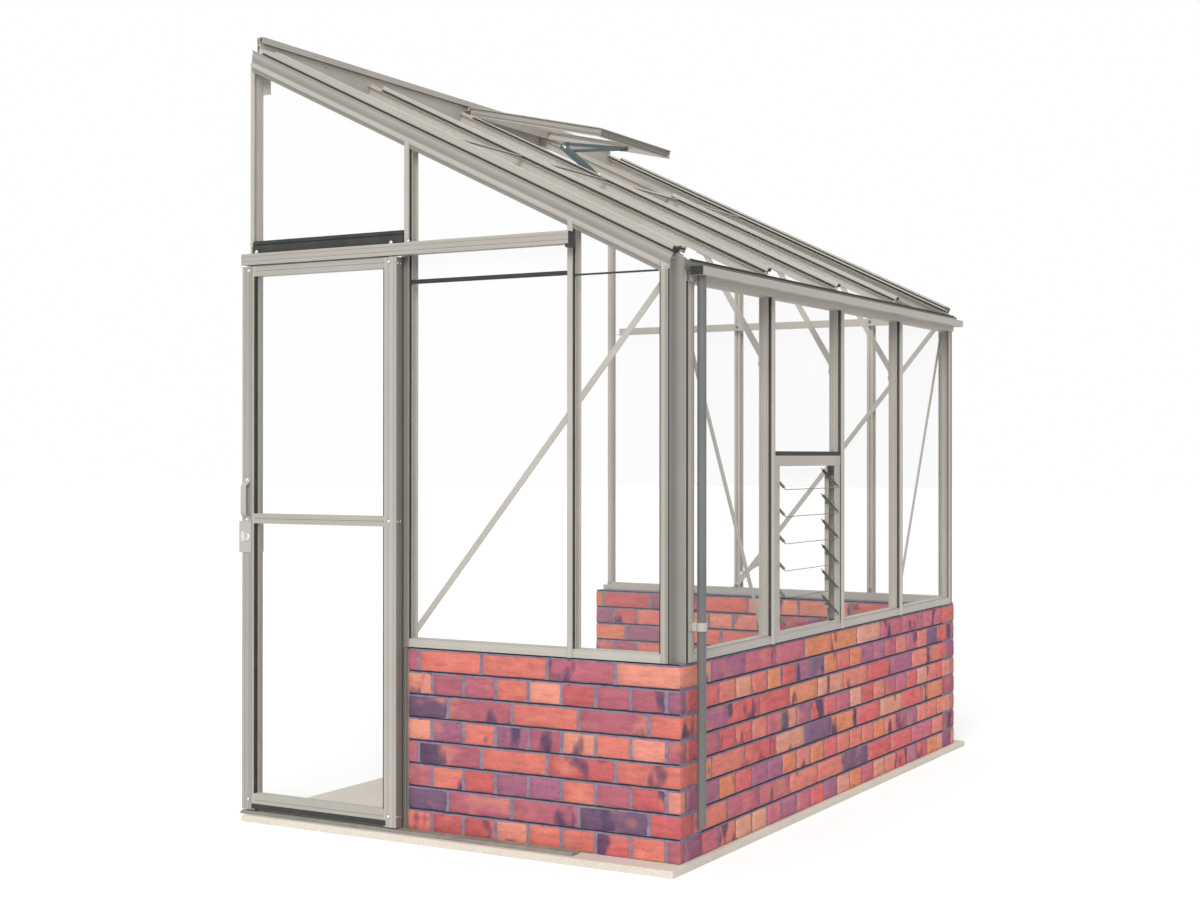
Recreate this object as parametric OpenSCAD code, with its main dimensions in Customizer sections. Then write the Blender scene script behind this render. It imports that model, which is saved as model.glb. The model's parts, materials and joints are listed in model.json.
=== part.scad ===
// Lean-to greenhouse: aluminium glazing bars on a brick base, sliding door,
// hinged roof vent and a louvre window. Origin: near outer corner of the
// eaves-side wall on the underside of the slab. X runs out from the house
// wall, Y along it, Z up. Millimetres.

/* [Base] */
// thickness of the paved slab
slab_thickness = 22; // [18:1:40]
// length of the brick base along the house wall
base_length = 2574; // [2550:2:2650]
// distance from the outer face of the side wall to the house wall
base_depth = 1675; // [1672:1:1690]
// length of the near gable wall beside the doorway
near_wall_length = 998; // [990:1:1000]
// brick wall thickness
wall_thickness = 150; // [130:1:170]
// height of the eight courses
base_height = 600; // [592:8:608]
// width of the mortar joints
mortar_joint = 10; // [8:1:12]
// depth the mortar lies behind the brick faces
mortar_depth = 4; // [2:0.5:6]

/* [Frame] */
// height of the lower edge of the gable rafters at the eaves
eaves_line = 1772.7; // [1765:0.1:1780]
// slope of the roof in degrees
roof_pitch = 25.85; // [25.6:0.05:26.1]
// depth of a glazing bar behind the glass
frame_depth = 40; // [38:1:42]
// width of the outer caps
cap_width = 18; // [16:1:20]
// height of the side caps over the glass
side_cap = 11; // [9:1:11]
// height of the roof caps over the glass
roof_cap = 16; // [12:1:18]
// radius of the concave corner of the posts
cove_radius = 36; // [32:1:36]
// thickness of all panes
glass_thickness = 4; // [3:0.5:4]
// first side glazing bar from the near corner
first_bar = 669; // [660:1:675]
// distance between side glazing bars
bar_pitch = 615.4; // [610:0.1:620]
// centre of the near gable bar
near_bar_x = -380; // [-390:1:-376]
// centre of the far gable bar
far_bar_x = -365; // [-390:1:-340]

/* [Door] */
// height of the door stiles
door_height = 1859; // [1850:1:1860]
// width of the door over both stiles
door_width = 650.6; // [640:0.2:655]
// depth of the door frame
door_depth = 33; // [30:1:33]
// height of the middle rail above the slab
mid_rail_z = 993; // [900:1:1040]
// radius of the door rollers
roller_radius = 13; // [11:0.5:13]
// running clearance of rollers and pins
running_gap = 0.4; // [0.35:0.05:0.5]

/* [Vent] */
// length of the vent frame down the slope
vent_length = 648; // [640:1:652]
// opening angle of the vent as it stands
vent_open = 12.95; // [8:0.05:20]
// depth of the vent frame
vent_depth = 34; // [30:1:34]

/* [Louvre] */
// tilt of the blades from upright as they stand
blade_tilt = 45; // [30:1:60]
// distance between blade pivots
blade_pitch = 91; // [90:0.5:92]
// height of a blade
blade_height = 100; // [98:1:102]

/* [Rain water] */
// outer diameter of the downpipe
pipe_diameter = 28; // [24:1:30]
// height of the gutter front
gutter_height = 26; // [20:1:30]

/* [Hidden] */

far_y = base_length;
course = base_height / 8;
// length of a brick with its joint, and the first joint of each kind of course
brick = 245;
first_joint = [93, 155, 93, 40];
sill_top = base_height + 28;
sill_slot = base_height + 12;
glass_n = 51;
beam_under = eaves_line - 20.7;
gutter_low = eaves_line - 2.7;
bar_x = 674 - base_depth;
bar_half = 14;
lip = 3;
second_bar = first_bar + bar_pitch;
third_bar = second_bar + bar_pitch;
bars = [first_bar, second_bar, third_bar];
plate_x = 15 - base_depth;
plate_low = roof_z(plate_x, 0) + 9.04;
bar_foot = 40;
post_depth = 48;
// hairline between straight lengths of one section
seam = 0.2;
near_post = [6 - base_depth, 22 - base_depth];
roof_joint = 1110;
sill_low = 1153;
sill_high = 1186;
hinge_x = 35 - base_depth;
hinge_n = 73.5;
door_left = 14 - base_depth;
door_front = -50;
track_bottom = door_height + 19;
track_top = track_bottom + 38;
louvre_head = base_height + 590;
pivot_x = -13.5;
first_pivot = base_height + 91.4;
crank = 18;
opener_foot = [hinge_x + 550, roof_z(hinge_x, 0) - 267.3];
opener_elbow = [hinge_x + 325, roof_z(hinge_x, 0) - 70.3];
eye_down = 630;
eye_under = -41;
seal = "#30302f";
alu = "#c9c4bb";
clear = "#cfe0dd";

// stands its children on the slab
module on_slab() {
    translate([0, 0, slab_thickness]) children();
}

// lays its children on the roof line: X runs down the slope, Z out of the roof
module on_roof() {
    translate([0, 0, slab_thickness + eaves_line]) rotate([0, roof_pitch, 0]) children();
}

// height of the roof level n over a given x
function roof_z(x, n) = eaves_line - x * tan(roof_pitch) + n / cos(roof_pitch);

// distance up the slope at which level n stands over x
function slope_at(x, n) = (n * sin(roof_pitch) - x) / cos(roof_pitch);

// carries a section (x outward from the roof line, y along the eaves) up the slope
module up_slope(low, high) {
    on_roof() translate([-low, 0, 0]) rotate([0, -90, 0]) linear_extrude(high - low) children();
}

// everything above roof level n, seen from the slope position low upward
module above_roof(n, low = -400) {
    on_roof() translate([-2400, -400, n]) cube([2400 - low, base_length + 800, 900]);
}

// a box given by its lower and upper corners, standing on the slab
module block(a, b) {
    on_slab() translate(a) cube(b - a);
}

// an upright bar of a section (x outward, y along) at a given place and turn
module upright(place, turn, low, high) {
    on_slab() translate([place[0], place[1], low]) rotate([0, 0, turn])
        linear_extrude(high - low) children();
}

// glazing bar behind the glass, with its bolt slot and spigot
module bar_section(depth = frame_depth) {
    difference() {
        union() {
            translate([-depth, -bar_half]) square([3, 2 * bar_half]);
            translate([-depth, -6]) square([9, 12]);
            translate([-depth, -2]) square([depth - 6, 4]);
            translate([-8, -bar_half]) square([2, 2 * bar_half]);
            translate([-8, -3]) square([8 + lip, 6]);
        }
        translate([-depth - 1, -3.25]) square([7, 6.5]);
    }
}

// outer cap with chamfered edges
module cap_section(height) {
    polygon([[lip, -cap_width / 2], [height - 3, -cap_width / 2], [height, 3 - cap_width / 2],
        [height, cap_width / 2 - 3], [height - 3, cap_width / 2], [lip, cap_width / 2]]);
}

// soft seals on one side of a bar, outside and inside of the pane
module seal_section() {
    translate([0, 3]) square([lip, 7]);
    translate([-6, 3]) square([6 - glass_thickness, 9]);
}

// cove-faced corner section: x outward through the side, y from the corner along it
module post_section() {
    difference() {
        union() {
            translate([-frame_depth, 0]) square([frame_depth, frame_depth]);
            translate([-65, -lip]) square([15, lip]);
            translate([-51, -1.2]) square([12, 1.2]);
            translate([0, 36.5]) square([0.8, 25]);
            translate([0, 48]) square([1.5, 14]);
            translate([0, 61]) square([lip, 23]);
        }
        circle(r = cove_radius, $fn = 48);
        difference() {
            translate([2 - frame_depth, 2]) square([frame_depth - 4, frame_depth - 4]);
            circle(r = cove_radius + 2, $fn = 48);
        }
    }
}

// gable rafter section: x is the roof level, y runs in from the gable face
module rafter_section() {
    difference() {
        union() {
            translate([0, -lip]) square([29, lip]);
            translate([10, 0]) square([50, frame_depth]);
            translate([glass_n + lip, frame_depth]) square([6, 30]);
            translate([43, frame_depth]) square([2, 32]);
        }
        translate([65, 0]) circle(r = cove_radius, $fn = 48);
        difference() {
            translate([13, 3]) square([34, frame_depth - 6]);
            translate([65, 0]) circle(r = cove_radius + 3, $fn = 48);
        }
    }
}

// mirrors its children to the far gable and keeps the near ones
module both_gables() {
    children();
    translate([0, far_y, 0]) mirror([0, 1, 0]) children();
}

// ---- brick base ----

module slab() {
    color("#dcd6c8") translate([-1635, -82.9, 0])
        cube([1653.7, base_length + 165.9, slab_thickness]);
}

// one wall along X, outer face on y = 0, with its raked joints round the free end
module brick_wall(length, shift = 0) {
    difference() {
        cube([length, wall_thickness, base_height]);
        for (row = [1:8]) {
            translate([-1, -1, row * course - mortar_joint])
                cube([length + 2, 1 + mortar_depth, mortar_joint]);
            if (shift == 0) {
                translate([length - mortar_depth, -1, row * course - mortar_joint])
                    cube([1 + mortar_depth, wall_thickness + 2, mortar_joint]);
            }
        }
        for (row = [0:7]) {
            unit = row % 2 == 1 ? brick : brick / 2;
            for (x = [first_joint[row % 4] - shift:unit:length - 40]) if (x > 20) {
                translate([x - mortar_joint / 2, -1, row * course])
                    cube([mortar_joint, 1 + mortar_depth, course - mortar_joint]);
            }
            if (shift == 0 && row % 4 != 3) {
                translate([length - mortar_depth, row % 2 == 1 ? 89 : 37, row * course])
                    cube([1 + mortar_depth, mortar_joint, course - mortar_joint]);
            }
        }
    }
}

module wall_near() {
    color("#c9705f") on_slab() translate([-near_wall_length, 0, 0]) brick_wall(near_wall_length);
}

module wall_side() {
    color("#c9705f") on_slab() translate([0, wall_thickness, 0]) rotate([0, 0, 90])
        brick_wall(base_length - 2 * wall_thickness, wall_thickness + 65);
}

module wall_far() {
    color("#c9705f") on_slab() translate([-base_depth, far_y, 0]) mirror([0, 1, 0])
        brick_wall(base_depth);
}

// ---- fixed frame ----

// sill over one wall, x from 0 to length, outward is -y
module sill_lip(length) {
    rotate([90, 0, 90]) linear_extrude(length)
        polygon([[0, base_height], [-lip, base_height], [-lip, base_height + 14],
            [-1.5, base_height + 18], [-1.5, base_height + 27], [0, base_height + 27]]);
}

module sill_tube(length) {
    rotate([90, 0, 90]) linear_extrude(length) difference() {
        union() {
            translate([6, base_height]) square([frame_depth - 6, sill_top - base_height]);
            translate([0, base_height]) square([6, sill_slot - base_height]);
        }
        translate([8, base_height + 2]) square([frame_depth - 10, 24]);
    }
}

module sill_shelf(length) {
    rotate([90, 0, 90]) linear_extrude(length)
        polygon([[frame_depth, base_height], [78, base_height], [78, base_height + 20],
            [76, base_height + 20], [76, base_height + 4], [frame_depth, base_height + 4]]);
}

module sills() {
    color(alu) on_slab() {
        translate([-near_wall_length, 0, 0]) {
            sill_lip(near_wall_length - 66);
            sill_tube(near_wall_length - frame_depth - 1);
            sill_shelf(near_wall_length - frame_depth - 1);
        }
        rotate([0, 0, 90]) {
            translate([85, 0, 0]) sill_lip(base_length - 170);
            translate([frame_depth + 1, 0, 0]) sill_tube(base_length - 2 * frame_depth - 2);
            translate([79, 0, 0]) sill_shelf(base_length - 158);
        }
        translate([0, far_y, 0]) rotate([0, 0, 180]) {
            translate([66, 0, 0]) sill_lip(base_depth - 66);
            translate([frame_depth + 1, 0, 0]) sill_tube(base_depth - frame_depth - 1);
            translate([frame_depth + 1, 0, 0]) sill_shelf(base_depth - frame_depth - 1);
        }
    }
}

// near corner post, cut to the rafter and the eaves beam
module corner_post() {
    difference() {
        on_slab() translate([0, 0, base_height]) linear_extrude(1240) post_section();
        above_roof(10, 47.7);
        above_roof(45);
        on_roof() translate([-2400, -lip - 10, 0]) cube([2352.3, lip + 10, 900]);
        block([-1, frame_depth + 1, beam_under], [20, 120, 2000]);
    }
}

module corner_posts() {
    color(alu) both_gables() corner_post();
}

// flat front, an open groove for the glass and a hollow back
module wall_post_section() {
    wide = near_post[1] - near_post[0];
    difference() {
        square([wide, post_depth]);
        translate([wide - 9, 3]) square([10, 18]);
        translate([2.5, 3]) square([2.5, 18]);
        translate([2.5, 23.5]) square([wide - 5, post_depth - 26]);
    }
}

// post against the house wall, standing at a given height
module wall_post(low) {
    difference() {
        on_slab() translate([near_post[0], 0, low])
            linear_extrude(plate_low - low) wall_post_section();
        above_roof(10);
        on_roof() translate([-2400, -10, 0]) cube([2400, 10.05, 900]);
    }
}

module wall_posts() {
    color(alu) {
        wall_post(0);
        translate([0, far_y, 0]) mirror([0, 1, 0]) wall_post(sill_top);
        block([near_post[1], 2, lock_z - 56], [near_post[1] + 3, post_depth, lock_z + 41]);
    }
}

// body of a gable bar from the sill to the rafter
module gable_bar(x, low) {
    difference() {
        upright([x, 0], -90, low, 2400) bar_section();
        above_roof(10);
        on_roof() translate([-2400, -20, 0]) cube([2400, 20, 900]);
    }
}

module door_jamb() {
    color(alu) {
        gable_bar(bar_x, sill_top);
        difference() {
            block([bar_x - bar_half, 0, 0], [-near_wall_length - 0.5, frame_depth, sill_top]);
            block([bar_x - bar_half + 2, 2, -1], [-near_wall_length - 2.5, frame_depth - 2, 700]);
        }
    }
}

module gable_bars() {
    color(alu) {
        gable_bar(near_bar_x, sill_top);
        translate([0, far_y, 0]) mirror([0, 1, 0]) {
            gable_bar(far_bar_x, sill_top);
            gable_bar(bar_x, sill_top);
        }
    }
}

module side_bars() {
    color(alu) for (y = bars) {
        upright([0, y], 0, sill_top, beam_under) bar_section();
    }
}

// cap of a gable bar, down over the sill to the brick
module gable_cap(x, low) {
    difference() {
        upright([x, 0], -90, low, 2400) cap_section(side_cap);
        on_roof() translate([-2400, -20, 0]) cube([2400, 20, 900]);
    }
}

module wall_caps() {
    color(alu) {
        for (y = bars) {
            upright([0, y], 0, base_height, beam_under) cap_section(side_cap);
        }
        gable_cap(bar_x, base_height);
        gable_cap(near_bar_x, base_height);
        translate([0, far_y, 0]) mirror([0, 1, 0]) {
            gable_cap(far_bar_x, base_height);
            gable_cap(bar_x, base_height);
        }
    }
}

// ridge extrusion on the house wall and the hook that carries the vent
module wall_plate() {
    color(alu) {
        difference() {
            along_y(40, base_length - 40) plate_section();
            on_slab() for (y = [400:1600:2000]) {
                translate([plate_x - 20, y, plate_low + 59]) rotate([0, 90, 0])
                    cylinder(r = 3.5, h = 30, $fn = 24);
            }
        }
        along_y(second_bar + bar_half + 2, third_bar - bar_half - 2)
            polygon([[plate_x, plate_low + 14], [plate_x + 3, plate_low + 14],
                [plate_x + 3, hook_z - 3], [hinge_x + 6, hook_z - 3], [hinge_x + 6, hook_z],
                [plate_x, hook_z]]);
    }
}

hook_z = roof_z(hinge_x, hinge_n) - 5.3;

module plate_section() {
    difference() {
        translate([plate_x, plate_low]) polygon([[-15, 0], [0, 0], [0, 73], [-4, 73],
            [-4, 93], [9, 93], [9, 74], [12, 74], [12, 96], [-15, 96]]);
        translate([plate_x - 12, plate_low + 4]) square([9, 62]);
        translate([plate_x - 12, plate_low + 70]) square([5, 20]);
    }
}

module gable_rafters() {
    color(alu) both_gables() difference() {
        up_slope(48, 1950) rafter_section();
        block([-2 * base_depth, -100, 1000], [plate_x, 200, 3600]);
    }
}

module roof_bars() {
    color(alu) for (y = bars) difference() {
        translate([0, y, 0]) up_slope(bar_foot, 1950)
            translate([glass_n, 0]) bar_section(glass_n - 13);
        block([-2400, 0, 1000], [plate_x, base_length, 3600]);
    }
}

// top end of the roof caps
cap_top = (1590 + 30) / cos(roof_pitch);
vent_end = sill_low - 12;

module roof_cap_strip(low, high) {
    up_slope(low, high) translate([glass_n, 0]) cap_section(roof_cap);
}

// half cap beside the vent, on the side of the neighbouring pane
module half_cap() {
    up_slope(vent_end, cap_top) translate([glass_n + lip, -10]) square([4, 7]);
}

module roof_caps() {
    color(alu) {
        translate([0, first_bar, 0]) roof_cap_strip(bar_foot, cap_top);
        translate([0, second_bar, 0]) roof_cap_strip(bar_foot, vent_end);
        translate([0, third_bar, 0]) roof_cap_strip(bar_foot, vent_end);
        translate([0, second_bar, 0]) half_cap();
        translate([0, third_bar, 0]) mirror([0, 1, 0]) half_cap();
        both_gables() up_slope(bar_foot + 8, cap_top) translate([66, 37]) square([14, 32]);
    }
}

// black plugs in the lower cap ends and the black gutter end
module cap_plugs() {
    color(seal) {
        for (y = bars) {
            translate([0, y, 0]) up_slope(bar_foot - 5, bar_foot)
                translate([glass_n, 0]) cap_section(roof_cap);
        }
        both_gables() up_slope(bar_foot + 3, bar_foot + 8) translate([54, 37]) square([26, 32]);
        block([12, 42, gutter_low], [54, 46, gutter_low + gutter_height]);
    }
}

// eaves beam with a sloping top under the roof bars, and the gutter before it
module beam_section() {
    difference() {
        polygon([[-frame_depth, beam_under], [-6, beam_under], [-6, beam_under + 10],
            [0, beam_under + 10], [0, beam_under], [12, beam_under],
            [12, roof_z(12, 45)], [9.5, roof_z(9.5, 45)], [9.5, roof_z(9.5, 13)],
            [-frame_depth, roof_z(-frame_depth, 13)]]);
        polygon([[3 - frame_depth, beam_under + 12.5], [6.5, beam_under + 12.5],
            [6.5, roof_z(6.5, 10)], [3 - frame_depth, roof_z(3 - frame_depth, 10)]]);
    }
}

module gutter_section() {
    difference() {
        translate([12, gutter_low]) square([42, gutter_height]);
        translate([14, gutter_low + 2]) square([38, gutter_height]);
    }
}

// carries a section (x, z) along Y
module along_y(low, high) {
    on_slab() translate([0, high, 0]) rotate([90, 0, 0]) linear_extrude(high - low) children();
}

module eaves_gutter() {
    color(alu) {
        along_y(frame_depth + 3, far_y - frame_depth - 3) beam_section();
        difference() {
            along_y(46, far_y - 49) gutter_section();
            on_slab() translate([33, 79, gutter_low - 10])
                cylinder(d = pipe_diameter - 4, h = 20, $fn = 32);
        }
        block([12, far_y - 49, gutter_low], [54, far_y - 46, gutter_low + gutter_height]);
    }
}

// ---- glass and seals ----

// seals of an upright side bar
module bar_seals(low, high) {
    linear_extrude(high - low) {
        seal_section();
        mirror([0, 1, 0]) seal_section();
    }
}

module gable_seal(x) {
    difference() {
        on_slab() translate([x, 0, sill_top]) rotate([0, 0, -90]) bar_seals(sill_top, 2400);
        on_roof() translate([-2400, -20, 0]) cube([2400, 40, 900]);
    }
}

module seals() {
    color(seal) {
        for (y = bars) {
            on_slab() translate([0, y, sill_top]) bar_seals(sill_top, beam_under);
        }
        gable_seal(bar_x);
        gable_seal(near_bar_x);
        translate([0, far_y, 0]) mirror([0, 1, 0]) {
            gable_seal(far_bar_x);
            gable_seal(bar_x);
        }
        both_gables() {
            block([lip - 3, 84, sill_top], [lip - 0.5, 88, beam_under]);
            block([0.8, 37, base_height], [1.8, 48, beam_under]);
            block([-69, -2.5, sill_top], [-65, 0, eaves_line + 17.3]);
            block([-39, -1.5, base_height], [-36.6, 0, eaves_line + 17.3]);
            up_slope(bar_foot + 8, cap_top) translate([60, 38]) square([6, 28]);
        }
        block([bar_x + 12, -1.5, tie_low], [near_bar_x - 12, 0, tie_high]);
        block([bar_x + 12, 0, tie_low + 5], [near_bar_x - 12, glass_thickness, tie_low + 9]);
        block([near_bar_x + 12, -1.5, tie_low - 4], [-72, 0, tie_high - 12]);
        block([bar_x + 12, glass_thickness, tie_low], [near_bar_x - 12, 5.5, tie_high]);
        block([-6, louvre_from, louvre_top - 15], [lip - 0.5, louvre_to, louvre_top]);
        translate([0, first_bar, 0]) roof_seals(50, cap_top);
        translate([0, second_bar, 0]) roof_seals(50, vent_end);
        translate([0, third_bar, 0]) roof_seals(50, vent_end);
        translate([0, second_bar, 0]) mirror([0, 1, 0]) one_roof_seal(vent_end, cap_top);
        translate([0, third_bar, 0]) one_roof_seal(vent_end, cap_top);
        both_gables() up_slope(50, cap_top) translate([glass_n, 62]) square([lip, 10]);
        up_slope(4, 12) translate([45, frame_depth + 2]) square([2, base_length - 84]);
    }
}

module one_roof_seal(low, high) {
    up_slope(low, high) translate([glass_n, 0]) seal_section();
}

module roof_seals(low, high) {
    one_roof_seal(low, high);
    mirror([0, 1, 0]) one_roof_seal(low, high);
}

// one pane in the side
module side_pane(from, to, low, high) {
    block([-glass_thickness, from, low], [0, to, high]);
}

louvre_top = base_height + 640.5;
louvre_sill = base_height + 34;

module side_glass() {
    color(clear, 0.3) {
        side_pane(frame_depth + 3, first_bar - 5, sill_slot, beam_under + 10);
        side_pane(first_bar + 5, second_bar - 5, louvre_top, beam_under + 10);
        side_pane(second_bar + 5, third_bar - 5, sill_slot, beam_under + 10);
        side_pane(third_bar + 5, far_y - frame_depth - 3, sill_slot, beam_under + 10);
    }
}

// one pane in a gable, cut to the rafter
module gable_pane(from, to, low, high = 2640) {
    difference() {
        block([from, 0, low], [to, glass_thickness, high]);
        above_roof(10);
    }
}

tie_low = eaves_line + 13.3;
tie_high = tie_low + 14;

module gable_glass() {
    color(clear, 0.3) {
        gable_pane(bar_x + 5, near_bar_x - 5, sill_slot, tie_low + 5);
        gable_pane(bar_x + 5, near_bar_x - 5, tie_low + 9);
        gable_pane(near_bar_x + 5, -frame_depth - 3, sill_slot);
        gable_pane(near_post[1] + 3, bar_x - 5, track_top + 9);
        translate([0, far_y, 0]) mirror([0, 1, 0]) {
            gable_pane(near_post[1] + 3, bar_x - 5, sill_slot);
            gable_pane(bar_x + 5, far_bar_x - 5, sill_slot);
            gable_pane(far_bar_x + 5, -frame_depth - 3, sill_slot);
        }
    }
}

// one roof pane between two heights on the slope
module roof_pane(from, to, low, high) {
    on_roof() translate([-high, from, glass_n - glass_thickness])
        cube([high - low, to - from, glass_thickness]);
}

module roof_glass() {
    top = slope_at(plate_x, glass_n) - 8;
    color(clear, 0.3) {
        for (bay = [[frame_depth + 3, first_bar - 5], [first_bar + 5, second_bar - 5],
                [third_bar + 5, far_y - frame_depth - 3]]) {
            roof_pane(bay[0], bay[1], 6, roof_joint - 2);
            roof_pane(bay[0], bay[1], roof_joint + 2, top);
        }
        roof_pane(second_bar + 5, third_bar - 5, 6, roof_joint - 2);
        roof_pane(second_bar + 5, third_bar - 5, roof_joint + 2, sill_low - 2);
    }
}

// H-shaped strips between the split roof panes
module roof_joint_strip(from, to) {
    on_roof() translate([-roof_joint, from, 0]) {
        translate([-2, 0, 45.5]) cube([4, to - from, 7]);
        translate([-7, 0, glass_n]) cube([14, to - from, 1.5]);
        translate([-7, 0, 45.5]) cube([14, to - from, 1.5]);
    }
}

module joint_strips() {
    color(alu) {
        roof_joint_strip(74, first_bar - 13);
        roof_joint_strip(first_bar + 13, second_bar - 13);
        roof_joint_strip(second_bar + 13, third_bar - 13);
        roof_joint_strip(third_bar + 13, far_y - 74);
    }
}

// ---- braces, ties and small fittings ----

// flat strap between two points of a plane, drawn as a 2D shape
module strap(a, b, width = 20) {
    angle = atan2(b[1] - a[1], b[0] - a[0]);
    translate(a) rotate(angle) translate([-8, -width / 2]) square([norm(b - a) + 16, width]);
}

// strap in the gable plane (x, z) at depth y
module gable_strap(a, b) {
    on_slab() translate([0, frame_depth + 3, 0]) rotate([90, 0, 0])
        linear_extrude(3) strap(a, b);
}

// strap in the side plane (y, z)
module side_strap(a, b) {
    on_slab() translate([-frame_depth - 3, 0, 0]) rotate([90, 0, 90])
        linear_extrude(3) strap(a, b);
}

module diagonal_braces() {
    color(alu) {
        gable_strap([-1004, 640], [-40, 1801]);
        translate([0, far_y, 0]) mirror([0, 1, 0]) gable_strap([-1007, 632], [-42, 1803]);
        side_strap([52, 1738], [673, 656]);
        side_strap([far_y - 52, 1738], [1990, 640]);
    }
}

// bent angle from a side bar up to a roof bar, flat feet on both
module knee_brace(y) {
    foot = [-frame_depth, 1545];
    top = [-247, roof_z(-247, 12.9)];
    run = 30;
    up = [-run * cos(roof_pitch), run * sin(roof_pitch)];
    in = [-3 * sin(roof_pitch), -3 * cos(roof_pitch)];
    along_y(y - 10, y + 10) polygon([foot + [0, -25], foot + [0, 12], top + in + [4, -7],
        top, top + up, top + up + in, top + in + [-1, 0], foot + [-3, 9], foot + [-3, -25]]);
    low_end = foot + [0, 12];
    high_end = top + in + [4, -7];
    along_y(y - 10, y - 7) intersection() {
        polygon([on_arm(low_end, high_end, 0, 1), on_arm(low_end, high_end, 1, 1),
            on_arm(low_end, high_end, 1.1, -18), on_arm(low_end, high_end, 0, -18)]);
        polygon([foot + [-0.6, 0], [foot[0] - 0.6, roof_z(foot[0] - 0.6, 12.4)],
            [-300, roof_z(-300, 12.4)], [-300, foot[1]]]);
    }
}

module knee_braces() {
    color(alu) for (y = bars) {
        knee_brace(y);
    }
}

module far_tie() {
    color(alu) {
        block([65 - base_depth, far_y - frame_depth - 3, eaves_line + 17.3],
            [-100, far_y - frame_depth, eaves_line + 49.3]);
        block([65 - base_depth, far_y - frame_depth - 28, eaves_line + 17.3],
            [-100, far_y - frame_depth - 3, eaves_line + 20.3]);
    }
}

gusset_x = 35 - base_depth;
gusset_low = roof_z(gusset_x, 0) - 87.3;

module gusset_plates() {
    color(alu) both_gables() {
        on_slab() translate([0, post_depth + 3, 0]) rotate([90, 0, 0]) linear_extrude(3)
            polygon([[gusset_x - 18, gusset_low], [gusset_x + 18, gusset_low],
                [gusset_x + 18, roof_z(gusset_x + 18, 8)],
                [gusset_x - 18, roof_z(gusset_x - 18, 8)]]);
    }
}

module vent_sill() {
    color(alu) on_roof() translate([-sill_high, second_bar + bar_half, 0]) {
        wide = bar_pitch - 2 * bar_half;
        difference() {
            translate([0, 0, 13]) cube([sill_high - sill_low, wide, 32]);
            translate([3, -1, 16]) cube([sill_high - sill_low - 6, wide + 2, 26]);
        }
    }
    color(alu) for (y = [opener_y - 9, opener_y + 6.4]) {
        along_y(y, y + 2.6) difference() {
            polygon([[-1068, roof_z(-1068, 13)], [-1049, roof_z(-1049, 13)],
                opener_foot + [12, -8], opener_foot + [-8, -9], opener_foot + [-9, 6]]);
            translate(opener_foot) circle(r = 3 + running_gap, $fn = 24);
        }
    }
}

module frame_bolts() {
    color("#d8d4ca") {
        both_gables() on_slab() for (z = [gusset_low + 20, gusset_low + 60]) {
            translate([gusset_x, post_depth + 3, z]) rotate([-90, 0, 0])
                cylinder(r = 6, h = 4, $fn = 6);
        }
        on_slab() for (x = [-1560, bar_x, far_bar_x]) {
            translate([x, far_y - frame_depth - 3, 1808]) rotate([90, 0, 0])
                cylinder(r = 6, h = 4, $fn = 6);
        }
        on_slab() for (y = bars) {
            translate([-frame_depth - 3, y, 1532]) rotate([0, -90, 0])
                cylinder(r = 5, h = 4, $fn = 6);
        }
    }
}

module downpipe() {
    color("#7d807d") on_slab() translate([33, 79, 0]) difference() {
        translate([0, 0, 70]) cylinder(d = pipe_diameter, h = gutter_low - 70, $fn = 40);
        translate([0, 0, 60]) cylinder(d = pipe_diameter - 4, h = gutter_low - 50, $fn = 40);
        translate([0, 0, 108]) rotate([42, 0, 0]) translate([-60, -90, -120])
            cube([120, 180, 120]);
    }
}

module pipe_clip() {
    color(alu) difference() {
        union() {
            on_slab() translate([33, 79, clip_low])
                cylinder(d = pipe_diameter + 6, h = 26, $fn = 40);
            block([lip, 50, clip_low], [lip + 2.5, 82, clip_low + 26]);
            block([lip, 68, clip_low], [20, 82, clip_low + 26]);
        }
        on_slab() translate([33, 79, clip_low - 5])
            cylinder(d = pipe_diameter + 0.7, h = 40, $fn = 40);
    }
    color("#d8d4ca") on_slab() translate([lip + 2.5, 57, clip_low + 13]) rotate([0, 90, 0])
        cylinder(r = 4, h = 2, $fn = 24);
}

clip_low = base_height + 95;

// ---- sliding door ----

// one wall or lip of the head track, placed from the door's front
module track_strip(front, back, low, high) {
    block([door_left - 4.5, door_front + front, low],
        [track_end, door_front + back, high]);
}

track_end = door_left + 1301;

module door_track() {
    color(alu) {
        track_strip(-2, 1, track_bottom + 3 + seam, track_top - 3 - seam);
        track_strip(36, 39, track_bottom + 3 + seam, track_top - 3 - seam);
        track_strip(-2, 14, track_bottom, track_bottom + 3);
        track_strip(23, 39, track_bottom, track_bottom + 3);
        track_strip(-2, 39, track_top - 3, track_top);
        block([near_post[0], seam - 11, track_bottom + 4],
            [near_post[1], 0, track_bottom + 30]);
        block([bar_x + 11, seam - 11, track_top - 20],
            [near_bar_x - 11, -1.5, track_top + 8]);
        block([near_post[1] + 1, 0, track_top - 20], [bar_x - bar_half, 30, track_top + 9]);
    }
}

module door_head_seal() {
    color(seal) block([near_post[1] + 1, -10, track_top + 6], [bar_x - 12, 0, track_top + 49]);
}

// sloping threshold with the guide groove
module bottom_track() {
    color(alu) on_slab() translate([plate_x, 0, 0]) rotate([90, 0, 90]) linear_extrude(1320) {
        polygon([[-63, 0], [-62, 2], [-60.6, 3], [-12, 3], [-12, 0]]);
        polygon([[-60.3, 3 + seam], [-52, 9], [-38, 9], [-38, 3 + seam]]);
        polygon([[-29, 3 + seam], [-29, 9], [-12, 9], [-12, 3 + seam]]);
    }
}

// black cap on the end of the track, with the lug the door stops against
module end_stop() {
    color(seal) {
        block([track_end, door_front - 2, track_bottom - 12], [track_end + 3, -11, track_top]);
        block([track_end - 11, door_front - 2, track_bottom - 12], [track_end, -30, track_bottom]);
    }
}

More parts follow.
